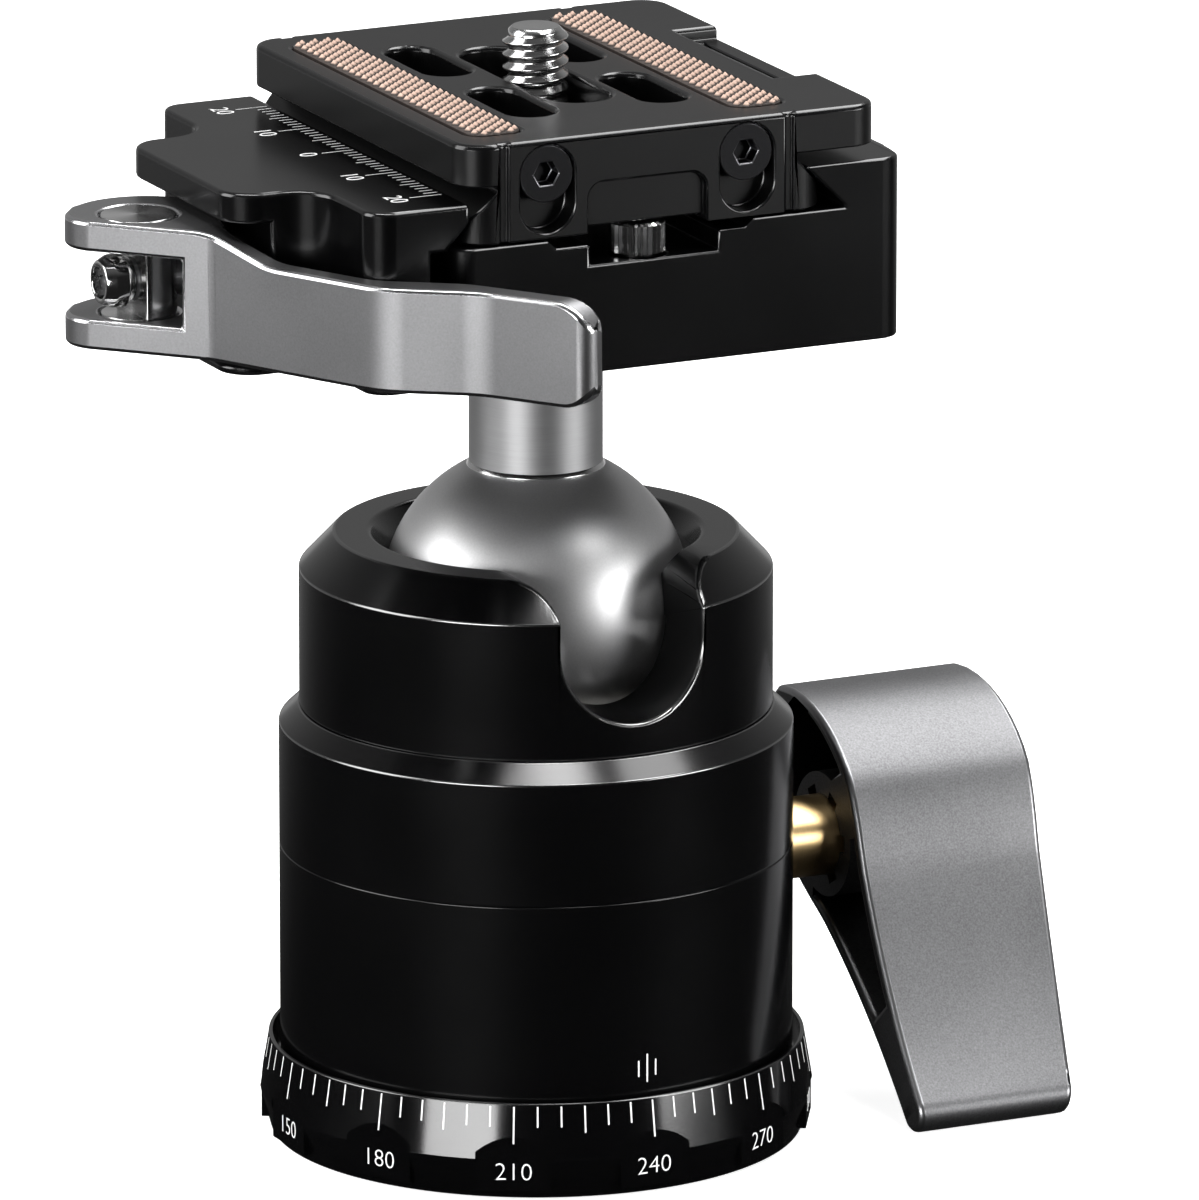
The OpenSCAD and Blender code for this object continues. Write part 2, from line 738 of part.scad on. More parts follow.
// The block's plan: straight sides, round corners and a bulged right end
module block_plan() {
    bulge_r = (half_len * half_len + block_bulge * block_bulge) / (2 * block_bulge);
    mid = block_right + block_bulge - bulge_r;
    swing = asin(half_len / bulge_r);
    steps = 10;
    end = [for (i = [1 : steps - 1]) let (t = swing * (2 * i / steps - 1))
        [mid + bulge_r * cos(t), bulge_r * sin(t), 0]];
    front = [[-block_left, -half_len, block_edge_r], [block_right, -half_len, block_end_r]];
    rear = [[block_right, half_len, block_end_r], [-block_left, half_len, block_edge_r]];
    polygon(rounded(concat(front, end, rear)));
}

// The block's side view: the top edge of its bulged end is round
module block_side() {
    right = block_right + block_bulge;
    polygon(rounded([[-block_left - 1, clamp_z, 0], [right, clamp_z, 0], [right, clamp_top, block_end_r],
        [-block_left - 1, clamp_top, 0]]));
}

module clamp_block() {
    color([0.04, 0.04, 0.042]) difference() {
        intersection() {
            translate([0, 0, clamp_z]) linear_extrude(clamp_h) block_plan();
            rotate([90, 0, 0]) linear_extrude(big, center = true) block_side();
        }
        dovetail_space(-block_left - 1, tip_half);
        rotate([90, 0, 0]) linear_extrude(big, center = true)
            polygon([[floor_groove[0], floor_z + eps], [floor_groove[0] + 0.8, floor_z - 0.8],
                [floor_groove[1] - 0.8, floor_z - 0.8], [floor_groove[1], floor_z + eps]]);
        translate([0.7 - pocket_w / 2, -half_len - 1, pocket_z])
            cube([pocket_w, clamp_len + 2, pocket_depth + 1]);
        tube(stem_head_r + fit, pocket_z - stem_head_h - 0.4, pocket_z + 1);
        tube(stem_bore_r + fit, clamp_z - 1, pocket_z);
        translate([pin_x, pin_y, 0]) tube(pin_r + run, pocket_z - pin_foot - 3, pocket_z + 1);
        for (side = [-1, 1]) translate([0, side * guide_y, guide_z]) {
            rod_x(guide_r + fit, -block_left - 1, -guide_right + eps);
            rod_x(spring_r + spring_wire + slide_fit, -block_left - 1, -block_left + spring_seat);
        }
        translate([0, 0, bolt_z]) rod_x(bolt_r + run, -block_left - 1, -7 - stem_head_r);
    }
}

// The jaw's plan: a wide bar with a narrower tongue, joined by hollow fillets
module jaw_plan() {
    front = half_len;
    polygon(rounded([[-jaw_inner + 4, -front, 0], [-jaw_left, -front, jaw_corner],
        [-jaw_left, -tongue_half, jaw_hollow], [-tongue_left, -tongue_half, tongue_r],
        [-tongue_left, tongue_half, tongue_r], [-jaw_left, tongue_half, jaw_hollow],
        [-jaw_left, front, jaw_corner], [-jaw_inner + 4, front, 0]]));
}

module sliding_jaw() {
    color([0.04, 0.04, 0.042]) difference() {
        translate([0, 0, clamp_z]) linear_extrude(clamp_h) jaw_plan();
        mirror([1, 0, 0]) dovetail_space(0, tip_half);
        translate([-jaw_inner, -half_len - 1, clamp_z - 1])
            cube([8, clamp_len + 2, clamp_h - jaw_h + 1 + eps]);
        translate([-tongue_left - 1, -half_len, lever_z - 0.3])
            cube([tongue_left + 1 - jaw_wall, clamp_len, clamp_top - tongue_t - lever_z + 0.3]);
        for (side = [-1, 1]) translate([0, side * guide_y, guide_z])
            rod_x(guide_r + slide_fit, -guide_left - 1.2, -jaw_inner + 1);
        translate([0, 0, bolt_z]) rod_x(bolt_r + slide_fit, -pivot_x, 0);
    }
}

module jaw_guide_pins() {
    color([0.75, 0.75, 0.75]) for (side = [-1, 1]) translate([0, side * guide_y, guide_z])
        rod_x(guide_r, -guide_left, -guide_right);
}

module jaw_springs() {
    color([0.6, 0.6, 0.6]) for (side = [-1, 1])
        translate([-block_left + spring_seat - fit, side * guide_y, guide_z]) rotate([0, -90, 0])
            coil(spring_r, spring_wire, 7, spring_seat + jaw_gap - 2 * fit);
}

module draw_bolt() {
    left = -pivot_x - barrel_flat - dome_len / 2;
    color([0.72, 0.72, 0.72]) translate([0, 0, bolt_z]) rod_x(bolt_r, left, -7.2 - stem_head_r);
}

// A domed hexagon nut with a hexagon socket in its end
module dome_nut() {
    place = [-pivot_x - barrel_flat - fit, 0, bolt_z];
    color([0.8, 0.8, 0.8]) translate(place) rotate([0, -90, 0]) difference() {
        intersection() {
            cylinder(r = dome_r, h = dome_len, $fn = 6);
            sphere(r = dome_r + 0.5);
        }
        translate([0, 0, -1]) cylinder(r = bolt_r + fit, h = dome_len / 2 + 1.1);
        translate([0, 0, dome_len / 2]) cylinder(r = 1.5, h = dome_len, $fn = 6);
    }
}

// The pin that the lever turns on, cut flat in the fork for the nut's seat
module barrel_pin() {
    gap = fork_gap_high - fork_gap_low - 2 * fit;
    color([0.82, 0.82, 0.83]) translate([-pivot_x, 0, 0]) difference() {
        tube(barrel_r, lever_z + 0.1, fork_top);
        translate([-barrel_d - barrel_flat, -barrel_d, fork_gap_low + fit])
            cube([barrel_d, 2 * barrel_d, gap]);
        translate([0, 0, bolt_z]) rod_x(bolt_r + fit, -big / 4, big / 4);
    }
}

// The lever's plan: cam, flat outer cheek, and a tail that bends round the jaw's corner
module lever_plan() {
    p = [-pivot_x, 0];
    o = [[-7.9, 1.4], [3.1, -10.2], [12.4, -half_len - 3.1], [20.2, -half_len - 8.4], lever_tip];
    elbow = tail_t + 0.9;
    tip = tail_t + 0.2;
    outer = [[each o[0], 1.5], [each o[1], 4], [each o[2], 9], [each o[3], 10], [each o[4], 1.6]];
    inner = [[each (o[4] + left_of(o[3], o[4]) * tip), 0.6], [each bend(o[2], o[3], o[4], elbow, tip), 8],
        [each bend(o[1], o[2], o[3], tail_t, elbow), 6], [each (o[1] + left_of(o[1], o[2]) * tail_t), 3]];
    cam_side = [[lever_cam_r, 0, 0], [2, 6, 0], [-4.3, 6, 2]];
    polygon([for (q = rounded(concat(outer, inner, cam_side))) q + p]);
    cheek = -o[0] * left_of(o[0], o[1]);
    intersection() {
        translate([-pivot_x + cam_off * cos(30), -cam_off * sin(30)]) circle(r = lever_cam_r);
        translate(p) rotate([0, 0, fork_heading]) translate([-big / 4, -cheek]) square(big / 2);
    }
}

// The lever's side view along its tail: the top runs down from the fork in an S-curve
module lever_side() {
    polygon(rounded([[-20, lever_z, 0], [tail_end, lever_z, 3], [tail_end, tail_top, 4],
        [17, tail_top, 9], [9.5, fork_top, 9], [-20, fork_top, 0]]));
}

module clamp_lever() {
    gap = fork_gap_high - fork_gap_low;
    reach = big / 4;
    color([0.5, 0.5, 0.51]) difference() {
        intersection() {
            translate([0, 0, lever_z - 1]) linear_extrude(fork_h + 2) lever_plan();
            translate([-pivot_x, 0, 0]) rotate([0, 0, lever_heading]) rotate([90, 0, 0])
                linear_extrude(big / 2, center = true) lever_side();
        }
        translate([-pivot_x, 0, 0]) tube(barrel_r + run, lever_z - 1, fork_top + 1);
        translate([-pivot_x, 0, fork_gap_low]) {
            rotate([0, 0, fork_heading]) translate([-reach, -reach, 0])
                cube([reach + fork_wall, 2 * reach, gap]);
            translate([-reach, -bolt_r - 0.6, 0]) cube([2 * reach, reach, gap]);
        }
    }
}

module stop_pin() {
    color([0.8, 0.8, 0.79]) translate([pin_x, pin_y, 0])
        tube(pin_r, pocket_z - pin_foot + pin_travel, pin_top);
}

module stop_pin_spring() {
    color([0.6, 0.6, 0.6]) translate([pin_x, pin_y, pocket_z - pin_foot - 3 + fit])
        coil(pin_r - 0.7, spring_wire, 5, pin_travel + 3 - 2 * fit);
}

// Plate

// The plate's cross-section: wings, waist and dovetail foot
module plate_section() {
    polygon([[-dove_half, plate_z], [dove_half, plate_z], [dove_half, plate_z + dove_lip],
        [waist_half, wing_z - 0.5], [waist_half, wing_z], [plate_right, wing_z], [plate_right, plate_top],
        [-plate_left, plate_top], [-plate_left, wing_z], [-waist_half, wing_z], [-waist_half, wing_z - 0.5],
        [-dove_half, plate_z + dove_lip]]);
}

module plate() {
    color([0.05, 0.05, 0.052]) difference() {
        intersection() {
            rotate([90, 0, 0]) linear_extrude(clamp_len, center = true) plate_section();
            union() {
                translate([0, 0, wing_z]) linear_extrude(wing_t + 1)
                    round_rect(-plate_left, plate_right, -half_len, half_len, plate_corner);
                translate([0, 0, plate_z - 1]) linear_extrude(wing_z - plate_z + 1)
                    round_rect(-dove_half, dove_half, -half_len, half_len, plate_corner);
            }
        }
        plate_cuts();
        for (end = [-1, 1]) plate_end_cuts(end);
    }
}

// Slots, strip seats and strap slot in the plate's top, and the screw's pocket below
module plate_cuts() {
    deep = plate_h + 2;
    translate([0, 0, plate_z - 1]) linear_extrude(deep) {
        slot_shape(screw_slot_w, screw_slot_len);
        for (x = [-slot_x, slot_x], y = [-slot_y, slot_y]) translate([x, y]) slot_shape(slot_w, slot_long);
        translate([plate_right - strap_bar - 1.3, 0]) square([2.6, 2 * strap_half - 2], center = true);
    }
    translate([0, 0, plate_z - 1]) linear_extrude(screw_ledge - plate_z + 1)
        slot_shape(2 * retainer_r + 0.6, screw_slot_len + 2 * retainer_r - screw_slot_w);
    for (x = [-strip_x, strip_x]) translate([x, 0, plate_top - strip_depth]) linear_extrude(strip_depth + 1)
        round_rect(-strip_w / 2 - fit, strip_w / 2 + fit, -strip_len / 2 - fit, strip_len / 2 + fit, 1.5);
    translate([plate_right - strap_bar - 2.6, -strap_half, plate_top - strap_drop])
        cube([10, 2 * strap_half, 5]);
}

// Corner grooves, end screw holes, the recessed panel and the stop pin's relief at one end
module plate_end_cuts(end) {
    for (x = [-groove_x, groove_x]) translate([x, end * half_len, plate_z - 1])
        linear_extrude(plate_h + 2) square([groove_w, groove_w], center = true);
    for (x = [-end_screw_x, end_screw_x]) translate([x, end * half_len, 0]) {
        for (z = [end_screw_z, end_screw_z - end_slot_drop]) translate([0, 0, z])
            rod_y(end_screw_d / 2 + fit, -2.2, 2.2);
        translate([-end_screw_d / 2 - fit, -2.2, end_screw_z - end_slot_drop])
            cube([end_screw_d + 2 * fit, 4.4, end_slot_drop]);
        translate([0, 0, end_screw_z]) rod_y(1.25 + fit, -8, 8);
    }
    translate([0, end * half_len, 0]) rotate([90, 0, 0]) linear_extrude(2 * panel_depth, center = true)
        round_rect(-relief_w / 2, relief_w / 2, plate_z - 4, panel_top, 1.6);
    translate([-relief_w / 2, end > 0 ? half_len - relief_len : -half_len - 1, plate_z - 1])
        cube([relief_w, relief_len + 1, relief_top - plate_z + 1]);
}

module grip_strips() {
    color([0.72, 0.58, 0.5]) for (x = [-strip_x, strip_x])
        translate([x, 0, plate_top - strip_depth]) linear_extrude(strip_depth + strip_proud)
            round_rect(-strip_w / 2, strip_w / 2, -strip_len / 2, strip_len / 2, 1.5);
}

module end_screws() {
    color([0.09, 0.09, 0.095]) for (x = [-end_screw_x, end_screw_x], end = [-1, 1])
        translate([x, end * half_len, end_screw_z]) rotate([0, 0, end > 0 ? 180 : 0]) difference() {
            union() {
                translate([0, 2.2, 0]) rotate([90, 0, 0]) cylinder(r = end_screw_d / 2, h = 1.9);
                rod_y(1.2, 2, 7.5);
            }
            translate([0, 1.8, 0]) rotate([90, 0, 0]) cylinder(r = 1.3, h = 3, $fn = 6);
        }
}

module screw_retainer() {
    color([0.3, 0.3, 0.31]) tube(retainer_r, retainer_z, stud_head_z - fit, 2.4);
}

module camera_screw() {
    color([0.82, 0.82, 0.82]) difference() {
        union() {
            tube(5, stud_head_z, stud_head_z + stud_head_t);
            tube(2.3, retainer_z + run, stud_head_z + 1);
            tube(stud_r - thread_depth, stud_head_z + 1, thread_z + eps);
            tube(stud_r, thread_z, plate_top + stud_len - 1);
            translate([0, 0, plate_top + stud_len - 1]) cylinder(r1 = stud_r, r2 = stud_r - 1, h = 1);
        }
        translate([-0.5, -3, plate_z - 1]) cube([1, 6, 2.2]);
    }
}

scale_ring();
base_plate();
thread_bush();
base_screws();
pan_spindle();
thrust_washer();
wave_washer();
spindle_nut();
lower_housing();
upper_housing();
housing_screws();
shaft_bushing();
ball_collar();
lock_shaft();
lock_knob();
knob_screw();
cup_follower();
disc_springs();
pressure_cup();
pan_lock_screw();
pan_lock_knob();
pan_lock_pad();
ball();
stem();
stem_screw();
clamp_block();
sliding_jaw();
jaw_guide_pins();
jaw_springs();
draw_bolt();
dome_nut();
barrel_pin();
clamp_lever();
stop_pin();
stop_pin_spring();
plate();
grip_strips();
end_screws();
screw_retainer();
camera_screw();
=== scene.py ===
"""Ball head with a drop notch, a panning scale base and a lever clamp."""

import json
import math

import bmesh
import bpy
from mathutils import Matrix, Vector


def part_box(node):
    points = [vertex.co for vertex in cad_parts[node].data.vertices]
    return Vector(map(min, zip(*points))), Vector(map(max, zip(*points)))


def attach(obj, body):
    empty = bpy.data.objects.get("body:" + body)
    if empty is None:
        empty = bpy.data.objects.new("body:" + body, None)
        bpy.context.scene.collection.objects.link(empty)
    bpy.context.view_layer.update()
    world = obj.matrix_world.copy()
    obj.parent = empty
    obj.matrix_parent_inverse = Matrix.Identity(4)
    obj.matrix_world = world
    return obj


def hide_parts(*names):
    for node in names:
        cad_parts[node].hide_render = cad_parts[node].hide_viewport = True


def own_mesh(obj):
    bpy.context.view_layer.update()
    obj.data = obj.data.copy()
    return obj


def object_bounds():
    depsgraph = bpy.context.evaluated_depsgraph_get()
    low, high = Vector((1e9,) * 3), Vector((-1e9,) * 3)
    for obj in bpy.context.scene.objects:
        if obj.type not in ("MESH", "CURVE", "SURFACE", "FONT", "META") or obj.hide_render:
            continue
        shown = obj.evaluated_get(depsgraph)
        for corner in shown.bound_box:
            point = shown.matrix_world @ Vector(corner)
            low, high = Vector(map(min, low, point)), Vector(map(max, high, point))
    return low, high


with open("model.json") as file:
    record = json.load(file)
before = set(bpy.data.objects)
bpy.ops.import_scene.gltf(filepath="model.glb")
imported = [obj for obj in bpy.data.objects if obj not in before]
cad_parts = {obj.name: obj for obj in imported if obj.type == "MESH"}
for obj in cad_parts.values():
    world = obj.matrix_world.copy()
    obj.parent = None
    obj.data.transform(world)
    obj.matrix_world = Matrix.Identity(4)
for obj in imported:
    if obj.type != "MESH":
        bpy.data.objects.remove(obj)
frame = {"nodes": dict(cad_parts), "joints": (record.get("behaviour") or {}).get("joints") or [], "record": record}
CAD_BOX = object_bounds()

bl_info = {
    "name": "Ball head",
    "version": (1, 0, 0),
    "blender": (4, 5, 0),
    "location": "View3D > Sidebar > Ball head",
    "description": "Dresses the packed ball head with finished pieces, materials and a studio",
    "category": "Object",
}

MM = 0.001
UP = Vector((0, 0, 1))
SEAM = 0.002 * MM  # Points nearer than this are one point
SHARP = math.radians(28)  # Edges that turn by more than this are rounded
BODY_OF = {n: b for b, nodes in frame["record"]["behaviour"]["bodies"].items() for n in nodes}


# Boxes and joints of the frame


def low(node):
    """Lowest corner of a CAD node."""
    return Vector(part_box(node)[0])


def high(node):
    """Highest corner of a CAD node."""
    return Vector(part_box(node)[1])


def joint_place(name):
    """A point on a hinge's axis."""
    return Vector(next(j["pos_m"] for j in frame["joints"] if j["name"] == name))


SHAFT = joint_place("ball_lock_turn")
BALL = joint_place("ball_tilt")
PIVOT = joint_place("lever_turn")
PLATE_TOP = high("plate").z


# Settings


def length(name, value, description):
    """A length in millimetres as a scene setting in metres."""
    return bpy.props.FloatProperty(name=name, description=description, default=value * MM, unit="LENGTH")


def colour(name, value, description):
    """A colour setting."""
    return bpy.props.FloatVectorProperty(
        name=name, description=description, default=value, size=3, min=0, max=1, subtype="COLOR")


class BallHeadSizes(bpy.types.PropertyGroup):
    """Sizes of edges, marks and surface details."""

    edge: length("Edge", 0.25, "Rounding of the machined edges")
    jaw_edge: length("Jaw edge", 0.4, "Rounding of the sliding jaw's edges")
    fine_edge: length("Fine edge", 0.12, "Rounding of small edges")
    knob_edge: length("Knob edge", 0.6, "Rounding of the lock knob's edges")
    lever_edge: length("Lever edge", 0.42, "Rounding of the lever's edges")
    chamfer: length("Chamfer", 0.28, "Chamfer round the plate's top and its slots")
    plate_edge: length("Plate edge", 0.192, "Rounding of the plate's other edges")
    notch_edge: length("Notch edge", 0.4, "Rounding of the drop notch's outer edge")
    crease_h: length("Crease height", 4.1, "Height of the scale ring's widest line")
    crease_r: length("Crease radius", 27.0, "Radius of the scale ring's widest line")
    ring_top_r: length("Ring top radius", 26.1, "Radius of the scale ring's top edge")
    pad_w: length("Pad width", 7.2, "Width of a number pad")
    pad_sink: length("Pad sink", 0.13, "Depth of the number pads below the ring's widest line")
    number_z: length("Number place", 2.75, "Height of the numbers' middle above the foot")
    strip_w: length("Strip width", 5.4, "Width of a grip strip")
    mark_w: length("Mark width", 0.15, "Width of a scale mark")
    mark_t: length("Mark thickness", 0.03, "Thickness of the printed marks")
    number_h: length("Number height", 1.75, "Height of the numbers on the scale ring")
    number_thin: length("Number thinning", 0.045, "How far the numbers' outlines are drawn in")
    jaw_number_h: length("Jaw number height", 1.9, "Height of the numbers on the sliding jaw")
    pitch: length("Thread pitch", 1.27, "Pitch of the camera screw's thread")
    grip_step: length("Grip step", 0.98, "Spacing of the pyramids on the grip strips")


class BallHeadColours(bpy.types.PropertyGroup):
    """Colours of the finishes."""

    black: colour("Black", (0.0008, 0.0008, 0.0009), "Black anodised aluminium")
    gunmetal: colour("Gunmetal", (0.56, 0.56, 0.565), "Hard anodised ball")
    titanium: colour("Titanium", (0.24, 0.24, 0.245), "Grey lever")
    stem: colour("Stem", (0.38, 0.38, 0.385), "Satin grey stem")
    knob: colour("Knob", (0.15, 0.15, 0.154), "Bead-blasted lock knob")
    brass: colour("Brass", (0.7, 0.5, 0.25), "Polished brass")
    chrome: colour("Chrome", (0.66, 0.66, 0.66), "Polished steel")
    steel: colour("Steel", (0.5, 0.5, 0.51), "Turned steel")
    oxide: colour("Black oxide", (0.02, 0.02, 0.021), "Blackened screws")
    grip: colour("Grip", (0.5, 0.35, 0.28), "Grip strips")
    # Painted shade: the grip strips' valleys are drawn in this dark brown
    grip_gap: colour("Grip gaps", (0.02, 0.013, 0.01), "Valleys of the grip strips")
    print: colour("Print", (0.75, 0.75, 0.75), "Printed marks and numbers")
    polymer: colour("Polymer", (0.75, 0.73, 0.68), "Moulded washers and cup")


def sizes():
    """The scene's sizes."""
    return bpy.context.scene.ball_head_sizes


def colours():
    """The scene's colours."""
    return bpy.context.scene.ball_head_colours


# Shaders


class Wire:
    """A number or colour socket whose arithmetic adds nodes to its material."""

    def __init__(self, look, socket):
        self.look = look
        self.socket = socket

    def math(self, operation, *others):
        """A Math node on this value and the others."""
        inputs = dict(enumerate((self, *others)))
        return self.look.node("ShaderNodeMath", {"operation": operation}, inputs)["Value"]

    def __add__(self, other):
        return self.math("ADD", other)

    def __sub__(self, other):
        return self.math("SUBTRACT", other)

    def __rsub__(self, other):
        return self.look.node("ShaderNodeMath", {"operation": "SUBTRACT"}, {0: other, 1: self})["Value"]

    def __mul__(self, other):
        return self.math("MULTIPLY", other)

    def __truediv__(self, other):
        return self.math("DIVIDE", other)


class Look:
    """One procedural material, or the world, and the nodes that it is made of."""

    def __init__(self, name, owner=None):
        self.material = owner or bpy.data.materials.new(name)
        self.material.use_nodes = True
        self.tree = self.material.node_tree
        self.tree.nodes.clear()

    def node(self, kind, settings=None, inputs=None):
        """Adds one node and returns its outputs by name."""
        made = self.tree.nodes.new(kind)
        for key, value in (settings or {}).items():
            setattr(made, key, value)
        for key, value in (inputs or {}).items():
            if isinstance(value, Wire):
                self.tree.links.new(value.socket, made.inputs[key])
            else:
                made.inputs[key].default_value = value
        return {out.name: Wire(self, out) for out in made.outputs if out.enabled}

    def place(self, scale=(1, 1, 1), location=(0, 0, 0)):
        """Object coordinates, scaled and moved."""
        here = self.node("ShaderNodeTexCoord")["Object"]
        inputs = {"Vector": here, "Scale": scale, "Location": location}
        return self.node("ShaderNodeMapping", {}, inputs)["Vector"]

    def noise(self, scale, detail=2, place=None):
        """Soft noise from 0 to 1, with its scale in cells per metre."""
        inputs = {"Vector": place or self.place(), "Scale": scale, "Detail": detail}
        out = self.node("ShaderNodeTexNoise", {}, inputs)
        return out.get("Fac") or out["Factor"]

    def tint(self, factor, first, second):
        """A colour between two colours."""
        inputs = {"Factor": factor, "A": (*first, 1), "B": (*second, 1)}
        mix = self.tree.nodes.new("ShaderNodeMix")
        mix.data_type = "RGBA"
        for socket in mix.inputs:
            if not socket.enabled or socket.name not in inputs:
                continue
            value = inputs[socket.name]
            if isinstance(value, Wire):
                self.tree.links.new(value.socket, socket)
            else:
                socket.default_value = value
        return Wire(self, next(s for s in mix.outputs if s.enabled))

    def ramp(self, value, start, end, first, last):
        """A smooth change from one number to another."""
        inputs = {"Value": value, "From Min": start, "From Max": end, "To Min": first, "To Max": last}
        return self.node("ShaderNodeMapRange", {"interpolation_type": "SMOOTHSTEP"}, inputs)["Result"]

    def bump(self, height, distance, strength):
        """A normal raised by a height."""
        inputs = {"Height": height, "Distance": distance, "Strength": strength}
        return self.node("ShaderNodeBump", {}, inputs)["Normal"]

    def surface(self, **inputs):
        """Ends the material with a Principled shader: base_color=..., roughness=..."""
        named = {key.replace("_", " ").title(): value for key, value in inputs.items()}
        named = {key.replace("Ior", "IOR"): value for key, value in named.items()}
        shader = self.node("ShaderNodeBsdfPrincipled", {}, named)["BSDF"]
        self.node("ShaderNodeOutputMaterial", {}, {"Surface": shader})
        return self.material


def shade(tone, by):
    """A colour made lighter or darker."""
    return tuple(max(0, min(1, c * by)) for c in tone)


def wander(noise, mean, spread=0.1):
    """A value that drifts round a mean with a noise."""
    return noise * spread + (mean - spread / 2)


def black_anodised(name="black_anodised", roughness=0.18, gloss=0.45):
    """Black anodised aluminium over a fine blast."""
    look = Look(name)
    grain = look.noise(scale=4200, detail=3)
    cloud = look.noise(scale=90)
    tone = look.tint(cloud, shade(colours().black, by=0.8), shade(colours().black, by=1.25))
    return look.surface(base_color=tone, roughness=wander(cloud, roughness, 0.06), specular_ior_level=gloss,
                        normal=look.bump(grain, distance=0.004 * MM, strength=0.35))


def burnished_edge(name, ior):
    """Black anodised edges, rubbed bright."""
    look = Look(name)
    rub = look.noise(scale=300)
    tone = look.tint(rub, colours().black, shade(colours().black, by=3))
    return look.surface(base_color=tone, roughness=wander(rub, 0.2), ior=ior)


def satin_metal(name, tone, roughness, speck=0.08):
    """Satin metal with a fine blast and a slow change of gloss."""
    look = Look(name)
    grain = look.noise(scale=5200, detail=3)
    cloud = look.noise(scale=70)
    base = look.tint(cloud * 0.3 + grain * 0.7, shade(tone, by=1 - 2 * speck), shade(tone, by=1 + 2 * speck))
    return look.surface(base_color=base, metallic=1.0, roughness=wander(cloud, roughness, 0.06),
                        normal=look.bump(grain, distance=0.004 * MM, strength=0.5))


def turned_metal(name, tone, roughness, axis="Z"):
    """Metal with fine turning lines round an axis."""
    look = Look(name)
    drawn = 0.03
    stretch = tuple(1 if letter == axis else drawn for letter in "XYZ")
    rings = look.noise(scale=9000, place=look.place(scale=stretch))
    base = look.tint(rings, shade(tone, by=0.9), shade(tone, by=1.1))
    return look.surface(base_color=base, metallic=1.0, roughness=wander(rings, roughness),
                        normal=look.bump(rings, distance=0.003 * MM, strength=0.5))


def faced_metal(name, tone, roughness, centre):
    """A metal end face with fine rings round its centre, and a painted fan of reflected light across them, drawn
    in its colour.
    """
    look = Look(name)
    place = look.place(scale=(1, 1, 0), location=(-centre.x, -centre.y, 0))
    radius = look.node("ShaderNodeVectorMath", {"operation": "LENGTH"}, {0: place})["Value"]
    line = look.node("ShaderNodeCombineXYZ", {}, {"X": radius})["Vector"]
    rings = look.noise(scale=14000, place=line)
    spot = look.node("ShaderNodeSeparateXYZ", {}, {"Vector": place})
    # Painted reflection: two light and two dark sectors round the centre, drawn into the base colour
    wings, start = 2, 0.4
    painted_fan = (spot["Y"].math("ARCTAN2", spot["X"]) * wings + start).math("COSINE")
    light = painted_fan * 0.4 + rings * 0.3 + 0.35
    base = look.tint(light, shade(tone, by=0.3), shade(tone, by=1.3))
    return look.surface(base_color=base, metallic=1.0, roughness=wander(rings, roughness),
                        normal=look.bump(rings, distance=0.01 * MM, strength=0.8))


def white_print():
    """Printed or engraved marks filled with white."""
    look = Look("white_print")
    speck = look.noise(scale=6000)
    tone = look.tint(speck, shade(colours().print, by=0.85), colours().print)
    return look.surface(base_color=tone, roughness=wander(speck, 0.5))


def moulded_polymer():
    """Pale moulded plastic."""
    look = Look("moulded_polymer")
    speck = look.noise(scale=900, detail=3)
    tone = look.tint(speck, shade(colours().polymer, by=0.92), colours().polymer)
    return look.surface(base_color=tone, roughness=wander(speck, 0.45))


def grip_rubber():
    """Tan grip rubber, painted dark brown in the valleys between its pyramids as their shade."""
    look = Look("grip_rubber")
    height = look.node("ShaderNodeSeparateXYZ", {}, {"Vector": look.place()})["Z"]
    # Lower points are drawn darker: a painted shade in the valleys between the pyramids
    valley, slope = 0.12 * MM, 0.18 * MM
    rise = (height - (PLATE_TOP + valley)) / slope
    speck = look.noise(scale=2500)
    level = look.node("ShaderNodeClamp", {}, {"Value": rise + wander(speck, 0, 0.5)})["Result"]
    tone = look.tint(level, colours().grip_gap, colours().grip)
    return look.surface(base_color=tone, roughness=wander(speck, 0.625, 0.15))


# Shapes


def add_object(name, data):
    """A new object in the scene."""
    made = bpy.data.objects.new(name, data)
    bpy.context.scene.collection.objects.link(made)
    return made


def as_mesh(name, form):
    """A form as a mesh. The form is used up."""
    mesh = bpy.data.meshes.new(name)
    form.to_mesh(mesh)
    form.free()
    return mesh


def evaluated(holder):
    """An object's final mesh as a form."""
    bpy.context.view_layer.update()
    form = bmesh.new()
    form.from_mesh(holder.evaluated_get(bpy.context.evaluated_depsgraph_get()).to_mesh())
    return form


def in_order(form):
    """Sorts a form's points, edges and faces by place, so that every run gives the same mesh."""
    for group in (form.verts, form.edges, form.faces):
        for i, item in enumerate(sorted(group, key=grid_place)):
            item.index = i
        group.sort()


def grid_place(item):
    """The middle of a point, an edge or a face, in whole seam widths."""
    points = [item] if isinstance(item, bmesh.types.BMVert) else item.verts
    return [round(sum(v.co[axis] for v in points) / len(points) / SEAM) for axis in range(3)]


def extrude(form, faces, way):
    """Pulls faces out along a vector to a closed form."""
    moved = bmesh.ops.extrude_face_region(form, geom=faces)["geom"]
    bmesh.ops.translate(form, verts=[v for v in moved if isinstance(v, bmesh.types.BMVert)], vec=way)
    in_order(form)
    bmesh.ops.recalc_face_normals(form, faces=form.faces)


def merged_copy(node):
    """A CAD node's mesh with its triangles joined and its flat faces made whole."""
    form = bmesh.new()
    form.from_mesh(frame["nodes"][node].data)
    bmesh.ops.remove_doubles(form, verts=form.verts, dist=SEAM)
    flat = math.radians(0.6)
    bmesh.ops.dissolve_limit(form, angle_limit=flat, verts=form.verts, edges=form.edges)
    return form


